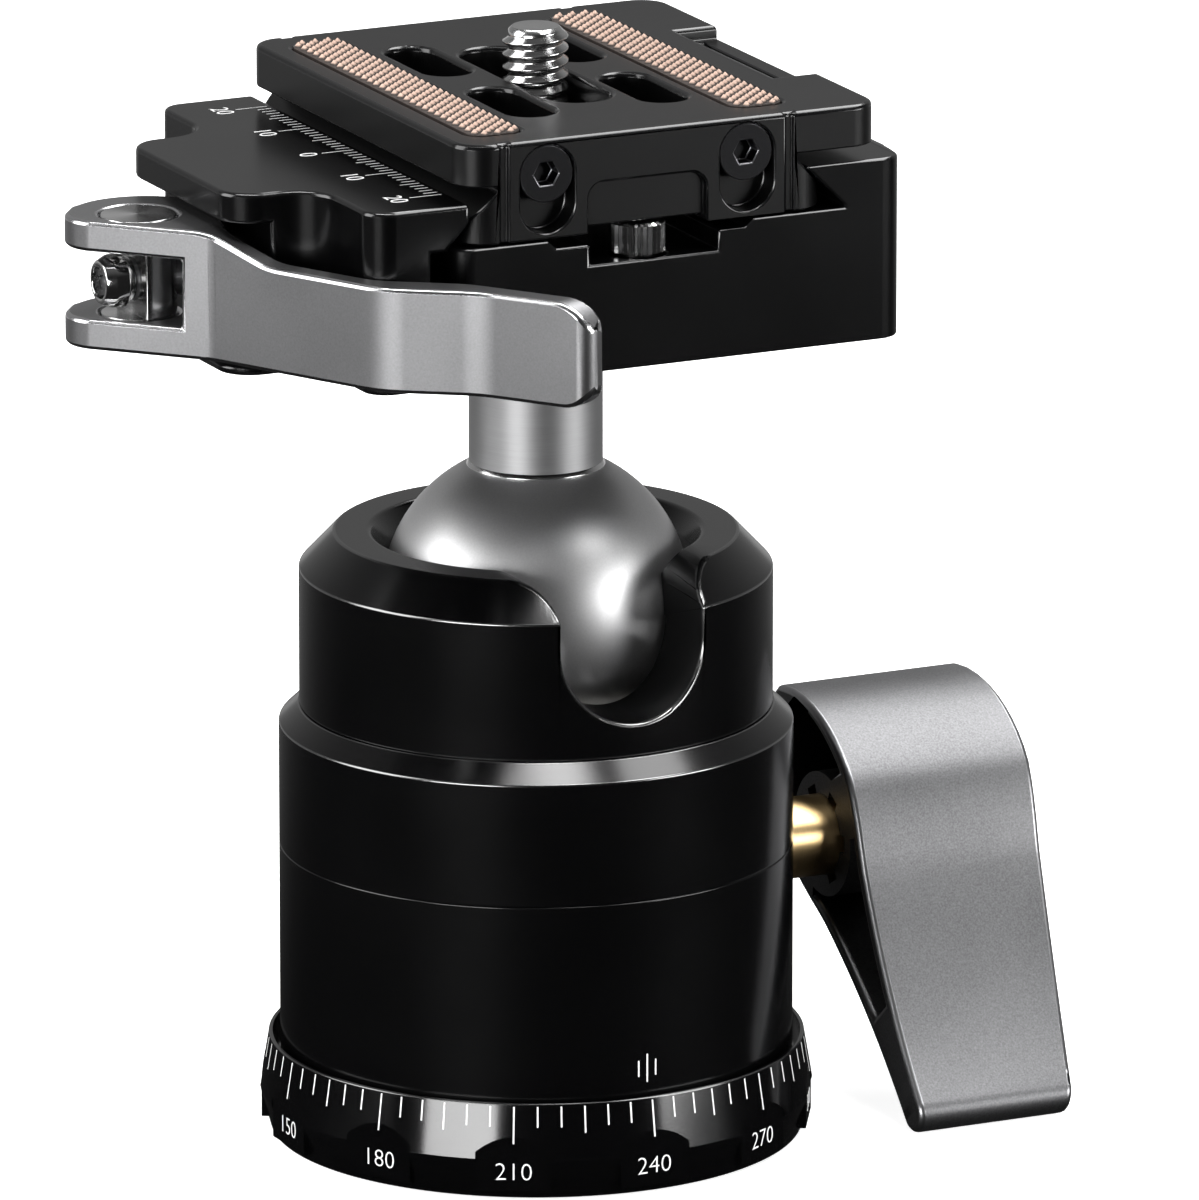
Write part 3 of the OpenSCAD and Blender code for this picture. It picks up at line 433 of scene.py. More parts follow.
def lathe(profile, steps):
    """A closed ring or shaft spun round Z from (radius, height) points."""
    form = bmesh.new()
    points = [form.verts.new((r, 0, z)) for r, z in profile]
    edges = [form.edges.new(pair) for pair in zip(points, points[1:] + points[:1])]
    bmesh.ops.spin(form, geom=points + edges, cent=(0, 0, 0), axis=UP, angle=math.tau, steps=steps,
                   use_merge=True)
    bmesh.ops.remove_doubles(form, verts=form.verts, dist=SEAM / 2)
    in_order(form)
    bmesh.ops.recalc_face_normals(form, faces=form.faces)
    return form


def round_corners(points, radii, steps=4):
    """A closed profile whose corners are rounded by the radii given."""
    result = []
    for i, (point, radius) in enumerate(zip(points, radii)):
        here = Vector(point)
        before = Vector(points[i - 1]) - here
        after = Vector(points[(i + 1) % len(points)]) - here
        if not radius:
            result.append(tuple(here))
            continue
        half = before.angle(after) / 2
        far = radius / math.tan(half)
        start = here + before.normalized() * far
        end = here + after.normalized() * far
        mid = here + (before.normalized() + after.normalized()).normalized() * radius / math.sin(half)
        for k in range(steps + 1):
            spoke = (start - mid).slerp(end - mid, k / steps) * radius
            result.append(tuple(mid + spoke))
    return result


def turned(points, radii, steps=216):
    """A turned body from (radius, height) points in millimetres and the rounding of each corner."""
    rounded = round_corners([(r * MM, z * MM) for r, z in points], [r * MM for r in radii])
    return lathe(rounded, steps)


def turn_to(form, way, place):
    """Turns a form made round Z to another axis and moves it to its place."""
    turn = UP.rotation_difference(Vector(way)).to_matrix().to_4x4()
    bmesh.ops.transform(form, matrix=Matrix.Translation(place) @ turn, verts=form.verts)


def prism(outline, front, rear):
    """An upright outline of (x, z) points, extruded along Y."""
    form = bmesh.new()
    face = form.faces.new([form.verts.new((x, front, z)) for x, z in outline])
    extrude(form, [face], (0, rear - front, 0))
    return form


def rod(radius, start, end):
    """A plain round rod between two points."""
    form = bmesh.new()
    way = Vector(end) - Vector(start)
    bmesh.ops.create_cone(form, cap_ends=True, segments=48, radius1=radius, radius2=radius, depth=way.length)
    turn_to(form, way, (Vector(start) + Vector(end)) / 2)
    return form


def carve(form, tool, operation="DIFFERENCE"):
    """Cuts a form by a tool, or joins them, and returns the result."""
    holders = [add_object("carve", as_mesh("carve", part)) for part in (form, tool)]
    step = holders[0].modifiers.new("carve", "BOOLEAN")
    step.operation = operation
    step.object = holders[1]
    result = evaluated(holders[0])
    for holder in holders:
        mesh = holder.data
        bpy.data.objects.remove(holder)
        bpy.data.meshes.remove(mesh)
    return result


def arc(centre, radius, first, last, steps):
    """Points on an arc between two angles in degrees."""
    angles = [math.radians(first + (last - first) * i / steps) for i in range(steps + 1)]
    return [(centre[0] + radius * math.cos(t), centre[1] + radius * math.sin(t)) for t in angles]


def bar(form, size, matrix):
    """Adds a small box to a form."""
    bmesh.ops.create_cube(form, size=1, matrix=matrix @ Matrix.Diagonal((*size, 1)))


def piece(name, form, material, body, nodes=(), smooth=35, rim=None):
    """Makes a form an object that rides on a body and stands for CAD nodes."""
    mesh = as_mesh(name, form)
    for finish in (material, rim):
        if finish:
            mesh.materials.append(finish)
    mesh.shade_smooth()
    mesh.set_sharp_from_angle(angle=math.radians(smooth))
    made = add_object(name, mesh)
    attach(made, body)
    if nodes:
        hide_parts(*nodes)
    return made


def soften(made, width, segments=2):
    """Rounds a piece's sharp edges."""
    rounding = made.modifiers.new("edges", "BEVEL")
    rounding.limit_method = "ANGLE"
    rounding.angle_limit = SHARP
    rounding.width = width
    rounding.segments = segments
    rounding.profile = 0.5
    rounding.use_clamp_overlap = False
    rounding.material = len(made.data.materials) - 1
    even(made)


def even(made):
    """Lets a piece's large faces set its normals."""
    normals = made.modifiers.new("normals", "WEIGHTED_NORMAL")
    normals.keep_sharp = True


def round_edges(form, width, segments, where):
    """Rounds the sharp edges of a form whose middle passes a test."""
    chosen = [e for e in form.edges if len(e.link_faces) == 2 and e.calc_face_angle() > SHARP
              and where((e.verts[0].co + e.verts[1].co) / 2)]
    made = bmesh.ops.bevel(form, geom=chosen, offset=width, offset_type="OFFSET", segments=segments, profile=0.5,
                           affect="EDGES", material=-1, clamp_overlap=False)
    for face in made["faces"]:
        face.material_index = 1


def dressed(node, material, edge=None, segments=2, rim=None):
    """A CAD node's shape with rounded edges and a finish."""
    made = piece(node + "_finished", merged_copy(node), material, BODY_OF[node], [node], rim=rim)
    if edge:
        soften(made, edge, segments)
    return made


def paint(nodes, material):
    """Gives CAD nodes that stay as they are a finish."""
    for node in nodes:
        slots = frame["nodes"][node].data.materials
        slots.clear()
        slots.append(material)


def number(text, height):
    """A flat number as a form in the XY plane, centred, reading along X."""
    curve = bpy.data.curves.new("number", "FONT")
    digit_share = 0.7
    curve.body = text
    curve.size = height / digit_share
    curve.offset = -sizes().number_thin
    curve.align_x = "CENTER"
    curve.align_y = "CENTER"
    curve.resolution_u = 3
    holder = add_object("number", curve)
    form = evaluated(holder)
    bpy.data.objects.remove(holder)
    bpy.data.curves.remove(curve)
    extrude(form, form.faces[:], UP * sizes().mark_t)
    return form


def join(target, form, matrix):
    """Moves a form into place and adds it to another one."""
    bmesh.ops.transform(form, matrix=matrix, verts=form.verts)
    mesh = as_mesh("joined", form)
    target.from_mesh(mesh)
    bpy.data.meshes.remove(mesh)


# Stage


class PhotoCamera:
    """The photograph's camera: metres and radians, with the lens in millimetres."""

    distance = 1.632
    elevation = math.radians(15.02)
    azimuth = math.radians(-25.48)
    sideways = 0.00616
    height = 0.05266
    lens = 505.2


def add_camera():
    """The camera at the photograph's place."""
    right = Vector((math.cos(PhotoCamera.azimuth), math.sin(PhotoCamera.azimuth), 0))
    level = right.cross(UP)
    back = level * math.cos(PhotoCamera.elevation) + UP * math.sin(PhotoCamera.elevation)
    target = right * PhotoCamera.sideways + UP * PhotoCamera.height
    data = bpy.data.cameras.new("photo_camera")
    data.lens = PhotoCamera.lens
    data.sensor_width = 36
    data.sensor_fit = "AUTO"
    data.clip_start = 0.1
    data.clip_end = 100
    camera = add_object("photo_camera", data)
    camera.location = target + back * PhotoCamera.distance
    camera.rotation_euler = back.to_track_quat("Z", "Y").to_euler()
    bpy.context.scene.camera = camera
    return right, level, back


def add_lamp(name, place, target, width, depth, power):
    """A soft box that looks at a point."""
    data = bpy.data.lights.new(name, "AREA")
    data.shape = "RECTANGLE"
    data.size = width
    data.size_y = depth
    data.energy = power
    lamp = add_object(name, data)
    lamp.location = place
    lamp.rotation_euler = (Vector(place) - Vector(target)).to_track_quat("Z", "Y").to_euler()


def add_world(back):
    """White backdrop behind the object, a dim studio in front of it."""
    world = bpy.data.worlds.new("studio")
    bpy.context.scene.world = world
    look = Look("studio", world)
    way = look.node("ShaderNodeTexCoord")["Generated"]
    inputs = {0: way, 1: tuple(-back)}
    facing = look.node("ShaderNodeVectorMath", {"operation": "DOT_PRODUCT"}, inputs)["Value"]
    rise = look.node("ShaderNodeSeparateXYZ", {}, {"Vector": way})["Z"]
    front, behind, above, soft = 0.015, 0.3, 0.1, 0.35
    backdrop = look.ramp(facing, -0.2, 0.7, front, behind) + look.ramp(rise, 0.4, 0.9, 0, above)
    rays = look.node("ShaderNodeLightPath")
    shown = rays["Is Camera Ray"].math("MAXIMUM", rays["Is Transmission Ray"])
    glossy = rays["Is Glossy Ray"]
    level = shown + (1 - shown) * (glossy * backdrop + (1 - glossy) * soft)
    light = look.node("ShaderNodeBackground", {}, {"Color": (1, 1, 1, 1), "Strength": level})
    look.node("ShaderNodeOutputWorld", {}, {"Surface": light["Background"]})


def add_floor(level):
    """A pale floor that shows white, keeps a soft shadow, and is bright behind the object in reflections."""
    look = Look("pale_floor")
    white, front, behind = 0.82, 0.015, 0.6
    rays = look.node("ShaderNodeLightPath")
    cloud = look.noise(scale=3)
    tone = look.tint(cloud, (0.8, 0.8, 0.8), (white, white, white))
    diffuse = look.node("ShaderNodeBsdfDiffuse", {}, {"Color": tone})["BSDF"]
    shown = rays["Is Camera Ray"].math("MAXIMUM", rays["Is Transmission Ray"])
    glow = look.node("ShaderNodeEmission", {}, {"Strength": shown * white})["Emission"]
    both = look.node("ShaderNodeAddShader", {}, {0: diffuse, 1: glow})["Shader"]
    inputs = {0: look.place(), 1: tuple(-level)}
    far = look.node("ShaderNodeVectorMath", {"operation": "DOT_PRODUCT"}, inputs)["Value"]
    strength = look.ramp(far, 0.0, 0.6, front, behind)
    mirrored = look.node("ShaderNodeEmission", {}, {"Strength": strength})["Emission"]
    inputs = {0: rays["Is Glossy Ray"], 1: both, 2: mirrored}
    mixed = look.node("ShaderNodeMixShader", {}, inputs)["Shader"]
    look.node("ShaderNodeOutputMaterial", {}, {"Surface": mixed})
    form = bmesh.new()
    bmesh.ops.create_grid(form, x_segments=1, y_segments=1, size=6)
    floor = add_object("floor", as_mesh("floor", form))
    floor.data.materials.append(look.material)
    gap = 0.2 * MM
    floor.location.z = CAD_BOX[0][2] - gap


class BALLHEAD_OT_stage(bpy.types.Operator):
    """Adds the camera, the soft boxes, the backdrop and the floor"""

    bl_idname = "ball_head.stage"
    bl_label = "Studio"

    def execute(self, context):
        """Builds the stage."""
        context.scene.view_settings.view_transform = "Standard"
        right, level, back = add_camera()
        aim = UP * 0.055
        add_world(back)
        add_floor(level)
        # Name, place, width, depth and power in watts
        lamps = [
            ("top_strip", UP * 0.8 + level * 0.13 - right * 0.05, 0.6, 0.12, 4.8),
            ("left_box", -right * 0.75 + level * 0.14 + UP * 0.36, 0.55, 0.7, 6.5),
            ("right_box", right * 0.74 + level * 0.3 + UP * 0.14, 0.44, 0.26, 4.2),
            ("crown_strip", Vector((0.37, -0.03, 0.72)), 1.05, 0.26, 7.5),
            ("front_box", level * 0.7 - right * 0.42 + UP * 0.13, 0.44, 0.26, 5),
        ]
        for name, place, width, depth, power in lamps:
            add_lamp(name, place, aim, width, depth, power)
        return {"FINISHED"}


# Marks and numbers


def scale_angle(degrees):
    """The direction of a scale value: 240 is at the drop notch."""
    return math.radians(degrees - 240 - 90)


def mark_length(value, numbered, long, middling, short):
    """The length of a scale mark: long at the numbers, middling half way between them, short elsewhere."""
    return (long if value % numbered == 0 else middling if value % (numbered // 2) == 0 else short) * MM


def ring_radius(height):
    """Radius of the scale ring's sloped face at a height."""
    own = sizes()
    share = (height - own.crease_h) / (high("scale_ring").z - own.crease_h)
    return own.crease_r + (own.ring_top_r - own.crease_r) * share


def on_wall(angle, radius, height, lean=0):
    """The place of a mark on a round wall: X points outwards, Z up the wall."""
    turn = Matrix.Rotation(angle, 4, "Z")
    return turn @ Matrix.Translation((radius, 0, height)) @ Matrix.Rotation(-lean, 4, "Y")


def pad_distance():
    """How far the flat number pads stand from the ring's axis."""
    own = sizes()
    return math.sqrt(own.crease_r ** 2 - own.pad_w ** 2 / 4) - own.pad_sink


def ring_marks():
    """The ring's marks every five degrees, longer at fifteen and thirty."""
    own = sizes()
    form = bmesh.new()
    top = high("scale_ring").z
    gap = 0.25 * MM
    lean = math.atan2(own.crease_r - own.ring_top_r, top - own.crease_h)
    for degrees in range(0, 360, 5):
        long = mark_length(degrees, 30, 3.6, 2.6, 2.0)
        height = top - gap - long / 2
        spot = on_wall(scale_angle(degrees), ring_radius(height), height, lean)
        bar(form, (own.mark_t, own.mark_w, long), spot)
    return form


def ring_numbers():
    """The numbers on the ring's flat pads."""
    own = sizes()
    form = bmesh.new()
    pad = pad_distance()
    for degrees in range(0, 360, 30):
        angle = scale_angle(degrees)
        out = Vector((math.cos(angle), math.sin(angle), 0))
        spot = Matrix((UP.cross(out), UP, out)).transposed().to_4x4()
        spot.translation = out * pad + UP * own.number_z
        join(form, number(str(degrees), own.number_h), spot)
    return form


def index_marks():
    """The three index lines above the ring at the drop notch."""
    own = sizes()
    form = bmesh.new()
    radius = high("lower_housing").x
    spacing, height = 0.9 * MM, 12.1 * MM
    for side, long in ((-1, 1.6), (0, 2.8), (1, 1.6)):
        angle = math.radians(-90) + side * spacing / radius
        bar(form, (own.mark_t, own.mark_w, long * MM), on_wall(angle, radius, height))
    return form


def jaw_scale():
    """The jaw's millimetre scale with its numbers, read from the lever's side."""
    own = sizes()
    form = bmesh.new()
    top = high("sliding_jaw").z
    start, number_gap = -19.3 * MM, 4.8 * MM
    width = own.mark_w * 0.8
    for y in range(-20, 21):
        long = mark_length(y, 10, 3.3, 2.0, 1.4)
        bar(form, (long, width, own.mark_t), Matrix.Translation((start - long / 2, y * MM, top)))
    for y in range(-20, 21, 10):
        spot = Matrix(((0, 1, 0), (-1, 0, 0), (0, 0, 1))).to_4x4()
        spot.translation = (start - number_gap, y * MM, top)
        join(form, number(str(abs(y)), own.jaw_number_h), spot)
    return form


# Details of single pieces


def grip_pyramids():
    """Both grip strips: low slabs with rows of blunt pyramids set corner to corner."""
    own = sizes()
    form = merged_copy("grip_strips")
    slab = 0.03 * MM
    for vert in form.verts:
        vert.co.z = min(vert.co.z, PLATE_TOP + slab)
    first, last = low("grip_strips"), high("grip_strips")
    step = own.grip_step / math.sqrt(2)
    foot, tip = step * 0.76, step * 0.1
    rise = last.z - PLATE_TOP
    rows = int((last.y - first.y) / 2 / step)
    columns = int(own.strip_w / 2 / step)
    for x in (first.x + own.strip_w / 2, last.x - own.strip_w / 2):
        for i in range(-columns, columns + 1):
            for j in range(-rows + abs(i) % 2, rows + 1):
                if (i + j) % 2:
                    continue
                spot = Matrix.Translation((x + i * step, j * step, PLATE_TOP + rise / 2))
                bmesh.ops.create_cone(form, cap_ends=True, segments=4, radius1=foot, radius2=tip, depth=rise,
                                      matrix=spot)
    return form


def thread(radius, root, pitch, bottom, top, chamfer):
    """A right-hand thread on Z with a chamfered flat end."""
    form = bmesh.new()
    per_turn = 40
    turns = math.ceil((top - bottom) / pitch) + 2
    # Radius, and height as a share of the pitch
    outline = [(root, 0), (root, 0.16), (radius, 0.44), (radius, 0.6), (root, 0.88), (root, 1)]
    points = [form.verts.new((r, 0, bottom + (z - 1) * pitch)) for r, z in outline]
    edges = [form.edges.new(pair) for pair in zip(points, points[1:])]
    bmesh.ops.spin(form, geom=points + edges, cent=(0, 0, 0), axis=UP, dvec=UP * pitch / per_turn,
                   angle=math.tau * turns, steps=per_turn * turns)
    bmesh.ops.remove_doubles(form, verts=form.verts, dist=SEAM)
    in_order(form)
    for vert in form.verts:
        flat = math.hypot(vert.co.x, vert.co.y)
        limit = radius - max(0, vert.co.z - (top - chamfer))
        if flat > limit:
            vert.co.x *= limit / flat
            vert.co.y *= limit / flat
    for height, upper in ((top, True), (bottom, False)):
        geom = form.verts[:] + form.edges[:] + form.faces[:]
        bmesh.ops.bisect_plane(form, geom=geom, plane_co=UP * height, plane_no=UP, clear_outer=upper,
                               clear_inner=not upper)
        rim = [v for v in form.verts if v.is_boundary and abs(v.co.z - height) < SEAM / 2]
        form.faces.new(sorted(rim, key=lambda v: math.atan2(v.co.y, v.co.x)))
    in_order(form)
    bmesh.ops.recalc_face_normals(form, faces=form.faces)
    return form


def camera_screw_form():
    """The camera screw: its head and shank below, its thread above."""
    own = sizes()
    top = high("camera_screw").z
    radius = 3.175 * MM
    root = radius - 0.55 * MM
    slimmer, hidden_from, hidden_to = 0.6, PLATE_TOP - 0.25 * MM, top - 0.5 * MM
    bottom, chamfer = PLATE_TOP - 3 * MM, 0.9 * MM
    form = merged_copy("camera_screw")
    for vert in form.verts:
        if vert.co.z > hidden_from:
            vert.co.x *= slimmer
            vert.co.y *= slimmer
            vert.co.z = min(vert.co.z, hidden_to)
    join(form, thread(radius, root, own.pitch, bottom, top, chamfer), Matrix())
    return form


def knurled_pin(node):
    """An upright pin: a head with a straight knurl and a chamfered top, on a thinner neck."""
    first, last = low(node), high(node)
    radius = (last.x - first.x) / 2
    centre = (first + last) / 2
    teeth, valley, neck = 30, 0.93, 0.7
    head, inset, drop = 3 * MM, 0.35 * MM, 0.25 * MM
    centre.z = last.z - head / 2
    form = bmesh.new()
    bmesh.ops.create_cone(form, cap_ends=True, segments=2 * teeth, radius1=radius, radius2=radius, depth=head)
    for vert in form.verts:
        if round(math.atan2(vert.co.y, vert.co.x) / math.pi * teeth) % 2:
            vert.co.x *= valley
            vert.co.y *= valley
    cap = max(form.faces, key=lambda f: f.calc_center_median().z)
    bmesh.ops.inset_region(form, faces=[cap], thickness=inset, depth=0)
    for vert in form.verts:
        if vert.co.z > 0 and vert not in cap.verts:
            vert.co.z -= drop
    bmesh.ops.translate(form, verts=form.verts, vec=centre)
    join(form, rod(radius * neck, (centre.x, centre.y, first.z), centre), Matrix())
    return form


def stem_foot():
    """The chamfer round the stem's foot on the ball, in polished steel lighter than the stem: partly a real
    chamfer, partly a painted highlight line.
    """
    radius = high("stem").x / MM
    rise = math.sqrt((high("ball").x / MM) ** 2 - radius ** 2) + BALL.z / MM
    wide, top = 0.3, rise + 0.35
    points = [(radius - wide, rise - 0.2), (radius + wide, rise - 0.12), (radius, top), (radius - wide, top)]
    return turned(points, [0, 0.08, 0.1, 0], steps=96)


def nut_form():
    """The dome nut: a turned body with a belt, a round lip and a hex socket."""
    first, last = low("dome_nut") / MM, high("dome_nut") / MM
    belt, end = (last.y - first.y) / 2, last.x - first.x
    bore, well, lip, socket = 1.3, 1.6, 2.05, 1.75 * MM
    points = [(bore, 0), (belt - 0.8, 0), (belt, end * 0.36), (belt - 0.12, end * 0.7), (lip, end), (well, end),
              (well, end / 2), (bore, end / 2)]
    form = turned(points, [0, 0.1, 0.15, 0.9, 0.22, 0.12, 0, 0], steps=64)
    tool = bmesh.new()
    bmesh.ops.create_cone(tool, cap_ends=True, segments=6, radius1=socket, radius2=socket, depth=end * MM,
                          matrix=Matrix.Translation((0, 0, end * 1.05 * MM)))
    form = carve(form, tool)
    turn_to(form, (-1, 0, 0), (last.x * MM, 0, (first.z + last.z) / 2 * MM))
    return form


def lever_form():
    """The lever, whose fork ends are rounded from the flat cheek into the cam."""
    form = merged_copy("clamp_lever")
    fine, sliver = 0.02 * MM, 0.03 * MM
    bmesh.ops.remove_doubles(form, verts=form.verts, dist=fine)
    heading = math.radians(133.5)
    along = Vector((math.cos(heading), math.sin(heading), 0))
    inward = Vector((along.y, -along.x, 0))
    cheek, cam, radius, beyond = 4.775, 7.1, 4.0, 6
    foot, tall = 80 * MM, 20 * MM
    reach = math.sqrt((cam - radius) ** 2 - (cheek - radius) ** 2)
    end = -math.degrees(math.atan2(cheek - radius, reach))
    outline = [(reach, -1), (reach + beyond, -1), (reach + beyond, radius),
               *arc((reach, radius), radius, end, -90, 12)]
    tool = bmesh.new()
    flat = PIVOT.xy.to_3d() - inward * cheek * MM
    face = tool.faces.new([tool.verts.new(flat + (along * u + inward * v) * MM + UP * foot) for u, v in outline])
    extrude(tool, [face], UP * tall)
    form = carve(form, tool)
    bmesh.ops.remove_doubles(form, verts=form.verts, dist=sliver)
    return form


def mark_rims(form, above):
    """Gives the narrow rounded bands of a turned form above a height the second finish."""
    narrow = 0.16 * MM
    for face in form.faces:
        if face.calc_center_median().z < above:
            continue
        spots = [Vector((math.hypot(v.co.x, v.co.y), v.co.z)) for v in face.verts]
        if max((a - b).length for a in spots for b in spots) < narrow:
            face.material_index = 1
    return form


def ring_form():
    """The scale ring: a turned body whose twelve number pads are cut flat."""
    own = sizes()
    top = high("scale_ring").z / MM
    outer, crease, pad = own.ring_top_r / MM, own.crease_r / MM, own.pad_w
    bore, recess, foot_r, lip, bush = 9.05, 19.95, 25.9, 25.7, 12.05
    roof, floor = 3.5, top - 1.6
    points = [(bore, roof), (recess, roof), (recess, 0), (foot_r, 0), (crease, own.crease_h / MM), (outer, top),
              (lip, top), (lip, floor), (bore, floor)]
    form = turned(points, [0, 0, 0, 0.3, 0.12, 0.15, 0.1, 0, 0], steps=240)
    plane = pad_distance()
    proud, flat = bmesh.new(), bmesh.new()
    foot, deep, past, cut = 0.9 * MM, 3 * MM, 0.1 * MM, 5 * MM
    rise = own.crease_h - foot
    for degrees in range(0, 360, 30):
        turn = Matrix.Rotation(math.radians(degrees), 4, "Z")
        block = Matrix.Translation((plane + past - deep / 2, 0, foot + rise / 2))
        bar(proud, (deep, pad, rise), turn @ block)
        bar(flat, (cut, 1.03 * pad, 30 * MM), turn @ Matrix.Translation((plane + cut / 2, 0, 0)))
    form = carve(form, proud, "UNION")
    form = carve(form, flat)
    return carve(form, rod(bush * MM, (0, 0, -MM), (0, 0, 5.5 * MM)))


def lower_form():
    """The lower housing with the holes of the lock shaft and the pan-lock screw."""
    first, last = low("lower_housing") / MM, high("lower_housing") / MM
    bore, well, floor = 9.1, 12, first.z + 8.3
    shaft_hole, screw_hole, outside = 3.4 * MM, 2.1 * MM, 30 * MM
    points = [(bore, first.z), (last.x, first.z), (last.x, last.z), (well, last.z), (well, floor), (bore, floor)]
    form = turned(points, [0, 0.3, 0.15, 0, 0, 0])
    form = carve(form, rod(shaft_hole, SHAFT - Vector((15.8 * MM, 0, 0)), SHAFT + Vector((outside, 0, 0))))
    pan = joint_place("pan_lock_turn")
    return carve(form, rod(screw_hole, (0, 9 * MM, pan.z), (0, outside, pan.z)))


def upper_form():
    """The upper housing with its sloped shoulder."""
    first, last = low("upper_housing") / MM, high("upper_housing") / MM
    shoulder, step, spigot, floor = last.z - 1.8, last.z - 0.8, last.z - 5.8, first.z + 2.7
    neck, ledge, socket, well, bore = 23.1, 22, 20.05, 14, 5.1
    points = [(bore, first.z), (last.x, first.z), (last.x, shoulder), (neck, last.z), (ledge, last.z),
              (ledge, step), (socket, step), (socket, spigot), (well, spigot), (well, floor), (bore, floor)]
    return turned(points, [0, 0.15, 0.3, 0.25, 0, 0, 0, 0, 0, 0, 0])


def collar_form():
    """The ball collar: a turned body with its spherical seat and the drop notch cut through its front."""
    own = sizes()
    first, last = low("ball_collar") / MM, high("ball_collar") / MM
    ball = BALL.z / MM
    seat_r, seat_top, seat_low = 15.06, 17.2, 1.9
    seat = arc((0, ball), seat_r, seat_top, seat_low, steps=6)
    foot, slope = last.z - 17.2, last.z - 3.6
    step = foot - 0.8
    wall, ledge, spigot, bore, crown, mouth = 23, 21.95, 20, 15.3, 19.6, 16.1
    points = [(bore, first.z), (spigot, first.z), (spigot, step), (ledge, step), (ledge, foot), (wall, foot),
              (wall, slope), (crown, last.z), (mouth, last.z), *seat, (bore, ball + 0.5)]
    radii = [0, 0, 0, 0, 0, 0.3, 0.35, 0.45, 0.7, 0.25, *[0] * len(seat)]
    form = turned(points, radii, steps=240)
    half, flare = 7.5, 3.2
    mid, top = ball + 0.5, last.z - flare
    outline = [(-half - flare, last.z + 1), *arc((-half - flare, top), flare, 90, 0, 10),
               *arc((0, mid), half, 180, 360, 40), *arc((half + flare, top), flare, 180, 90, 10),
               (half + flare, last.z + 1)]
    form = carve(form, prism([(x * MM, z * MM) for x, z in outline], front=-10 * MM, rear=-30 * MM))
    round_edges(form, own.notch_edge, 3, on_notch_edge)
    return form


def on_notch_edge(mid):
    """True on the collar's outer edge along the drop notch."""
    half, deep, inside = 12 * MM, 8 * MM, 18 * MM
    near = abs(mid.x) < half and mid.y < 0 and mid.z > BALL.z - deep
    return near and math.hypot(mid.x, mid.y) > inside


def clear_of_hub(mid):
    """True on the lock knob's edges away from its hub."""
    hub = 6.6 * MM
    return math.hypot(mid.y, mid.z - SHAFT.z) > hub


def on_plate_top(mid):
    """True on the edges of the plate's top face."""
    return abs(mid.z - PLATE_TOP) < 0.01 * MM


# Pieces


class BALLHEAD_OT_base(bpy.types.Operator):
    """Finishes the scale ring with its marks and numbers, and the base below it"""

    bl_idname = "ball_head.base"
    bl_label = "Scale base"

    def execute(self, context):
        """Builds the base."""
        gloss = black_anodised("ring_gloss", roughness=0.12, gloss=0.6)
        ring = mark_rims(ring_form(), 0)
        rim = burnished_edge("ring_rim", ior=2.0)
        even(piece("scale_ring_finished", ring, gloss, "base", ["scale_ring"], smooth=5, rim=rim))
        white = white_print()
        piece("ring_marks", ring_marks(), white, "base")
        piece("ring_numbers", ring_numbers(), white, "base")
        paint(["base_plate", "thread_bush", "pan_spindle", "wave_washer", "spindle_nut"],
              turned_metal("turned_steel", colours().steel, roughness=0.32))
        paint(["base_screws"], satin_metal("black_oxide_base", colours().oxide, roughness=0.4))
        paint(["thrust_washer"], moulded_polymer())
        return {"FINISHED"}


class BALLHEAD_OT_housing(bpy.types.Operator):
    """Finishes the two housings and the ball collar"""

    bl_idname = "ball_head.housing"
    bl_label = "Housing"

    def execute(self, context):
        """Builds the housing."""
        black, rim = black_anodised(), burnished_edge("housing_rim", ior=2.4)
        forms = {"lower_housing": lower_form, "upper_housing": upper_form, "ball_collar": collar_form}
        above = SHAFT.z + 5 * MM
        for node, form in forms.items():
            turned_body = mark_rims(form(), above)
            even(piece(node + "_finished", turned_body, black, "housing", [node], smooth=32, rim=rim))
        piece("index_marks", index_marks(), white_print(), "housing")
        paint(["shaft_bushing"], turned_metal("bushing_brass", colours().brass, roughness=0.25, axis="X"))
        paint(["housing_screws"], satin_metal("black_oxide_housing", colours().oxide, roughness=0.4))
        return {"FINISHED"}


class BALLHEAD_OT_ball(bpy.types.Operator):
    """Finishes the ball, the stem and the pressure cup"""

    bl_idname = "ball_head.ball"
    bl_label = "Ball and stem"

    def execute(self, context):
        """Builds the ball."""
        dressed("ball", satin_metal("ball_gunmetal", colours().gunmetal, roughness=0.43))
        dressed("stem", turned_metal("stem_satin", colours().stem, roughness=0.45), sizes().fine_edge)
        # The stem's foot is a small polished ring, lighter than the stem: partly a real chamfer, partly a painted
        # highlight line
        piece("stem_foot", stem_foot(), turned_metal("foot_highlight_steel", colours().chrome, roughness=0.2), "clamp")
        paint(["stem_screw"], satin_metal("black_oxide_stem", colours().oxide, roughness=0.4))
        paint(["pressure_cup"], moulded_polymer())
        paint(["cup_follower", "disc_springs"], turned_metal("cup_steel", colours().steel, roughness=0.32))
        return {"FINISHED"}


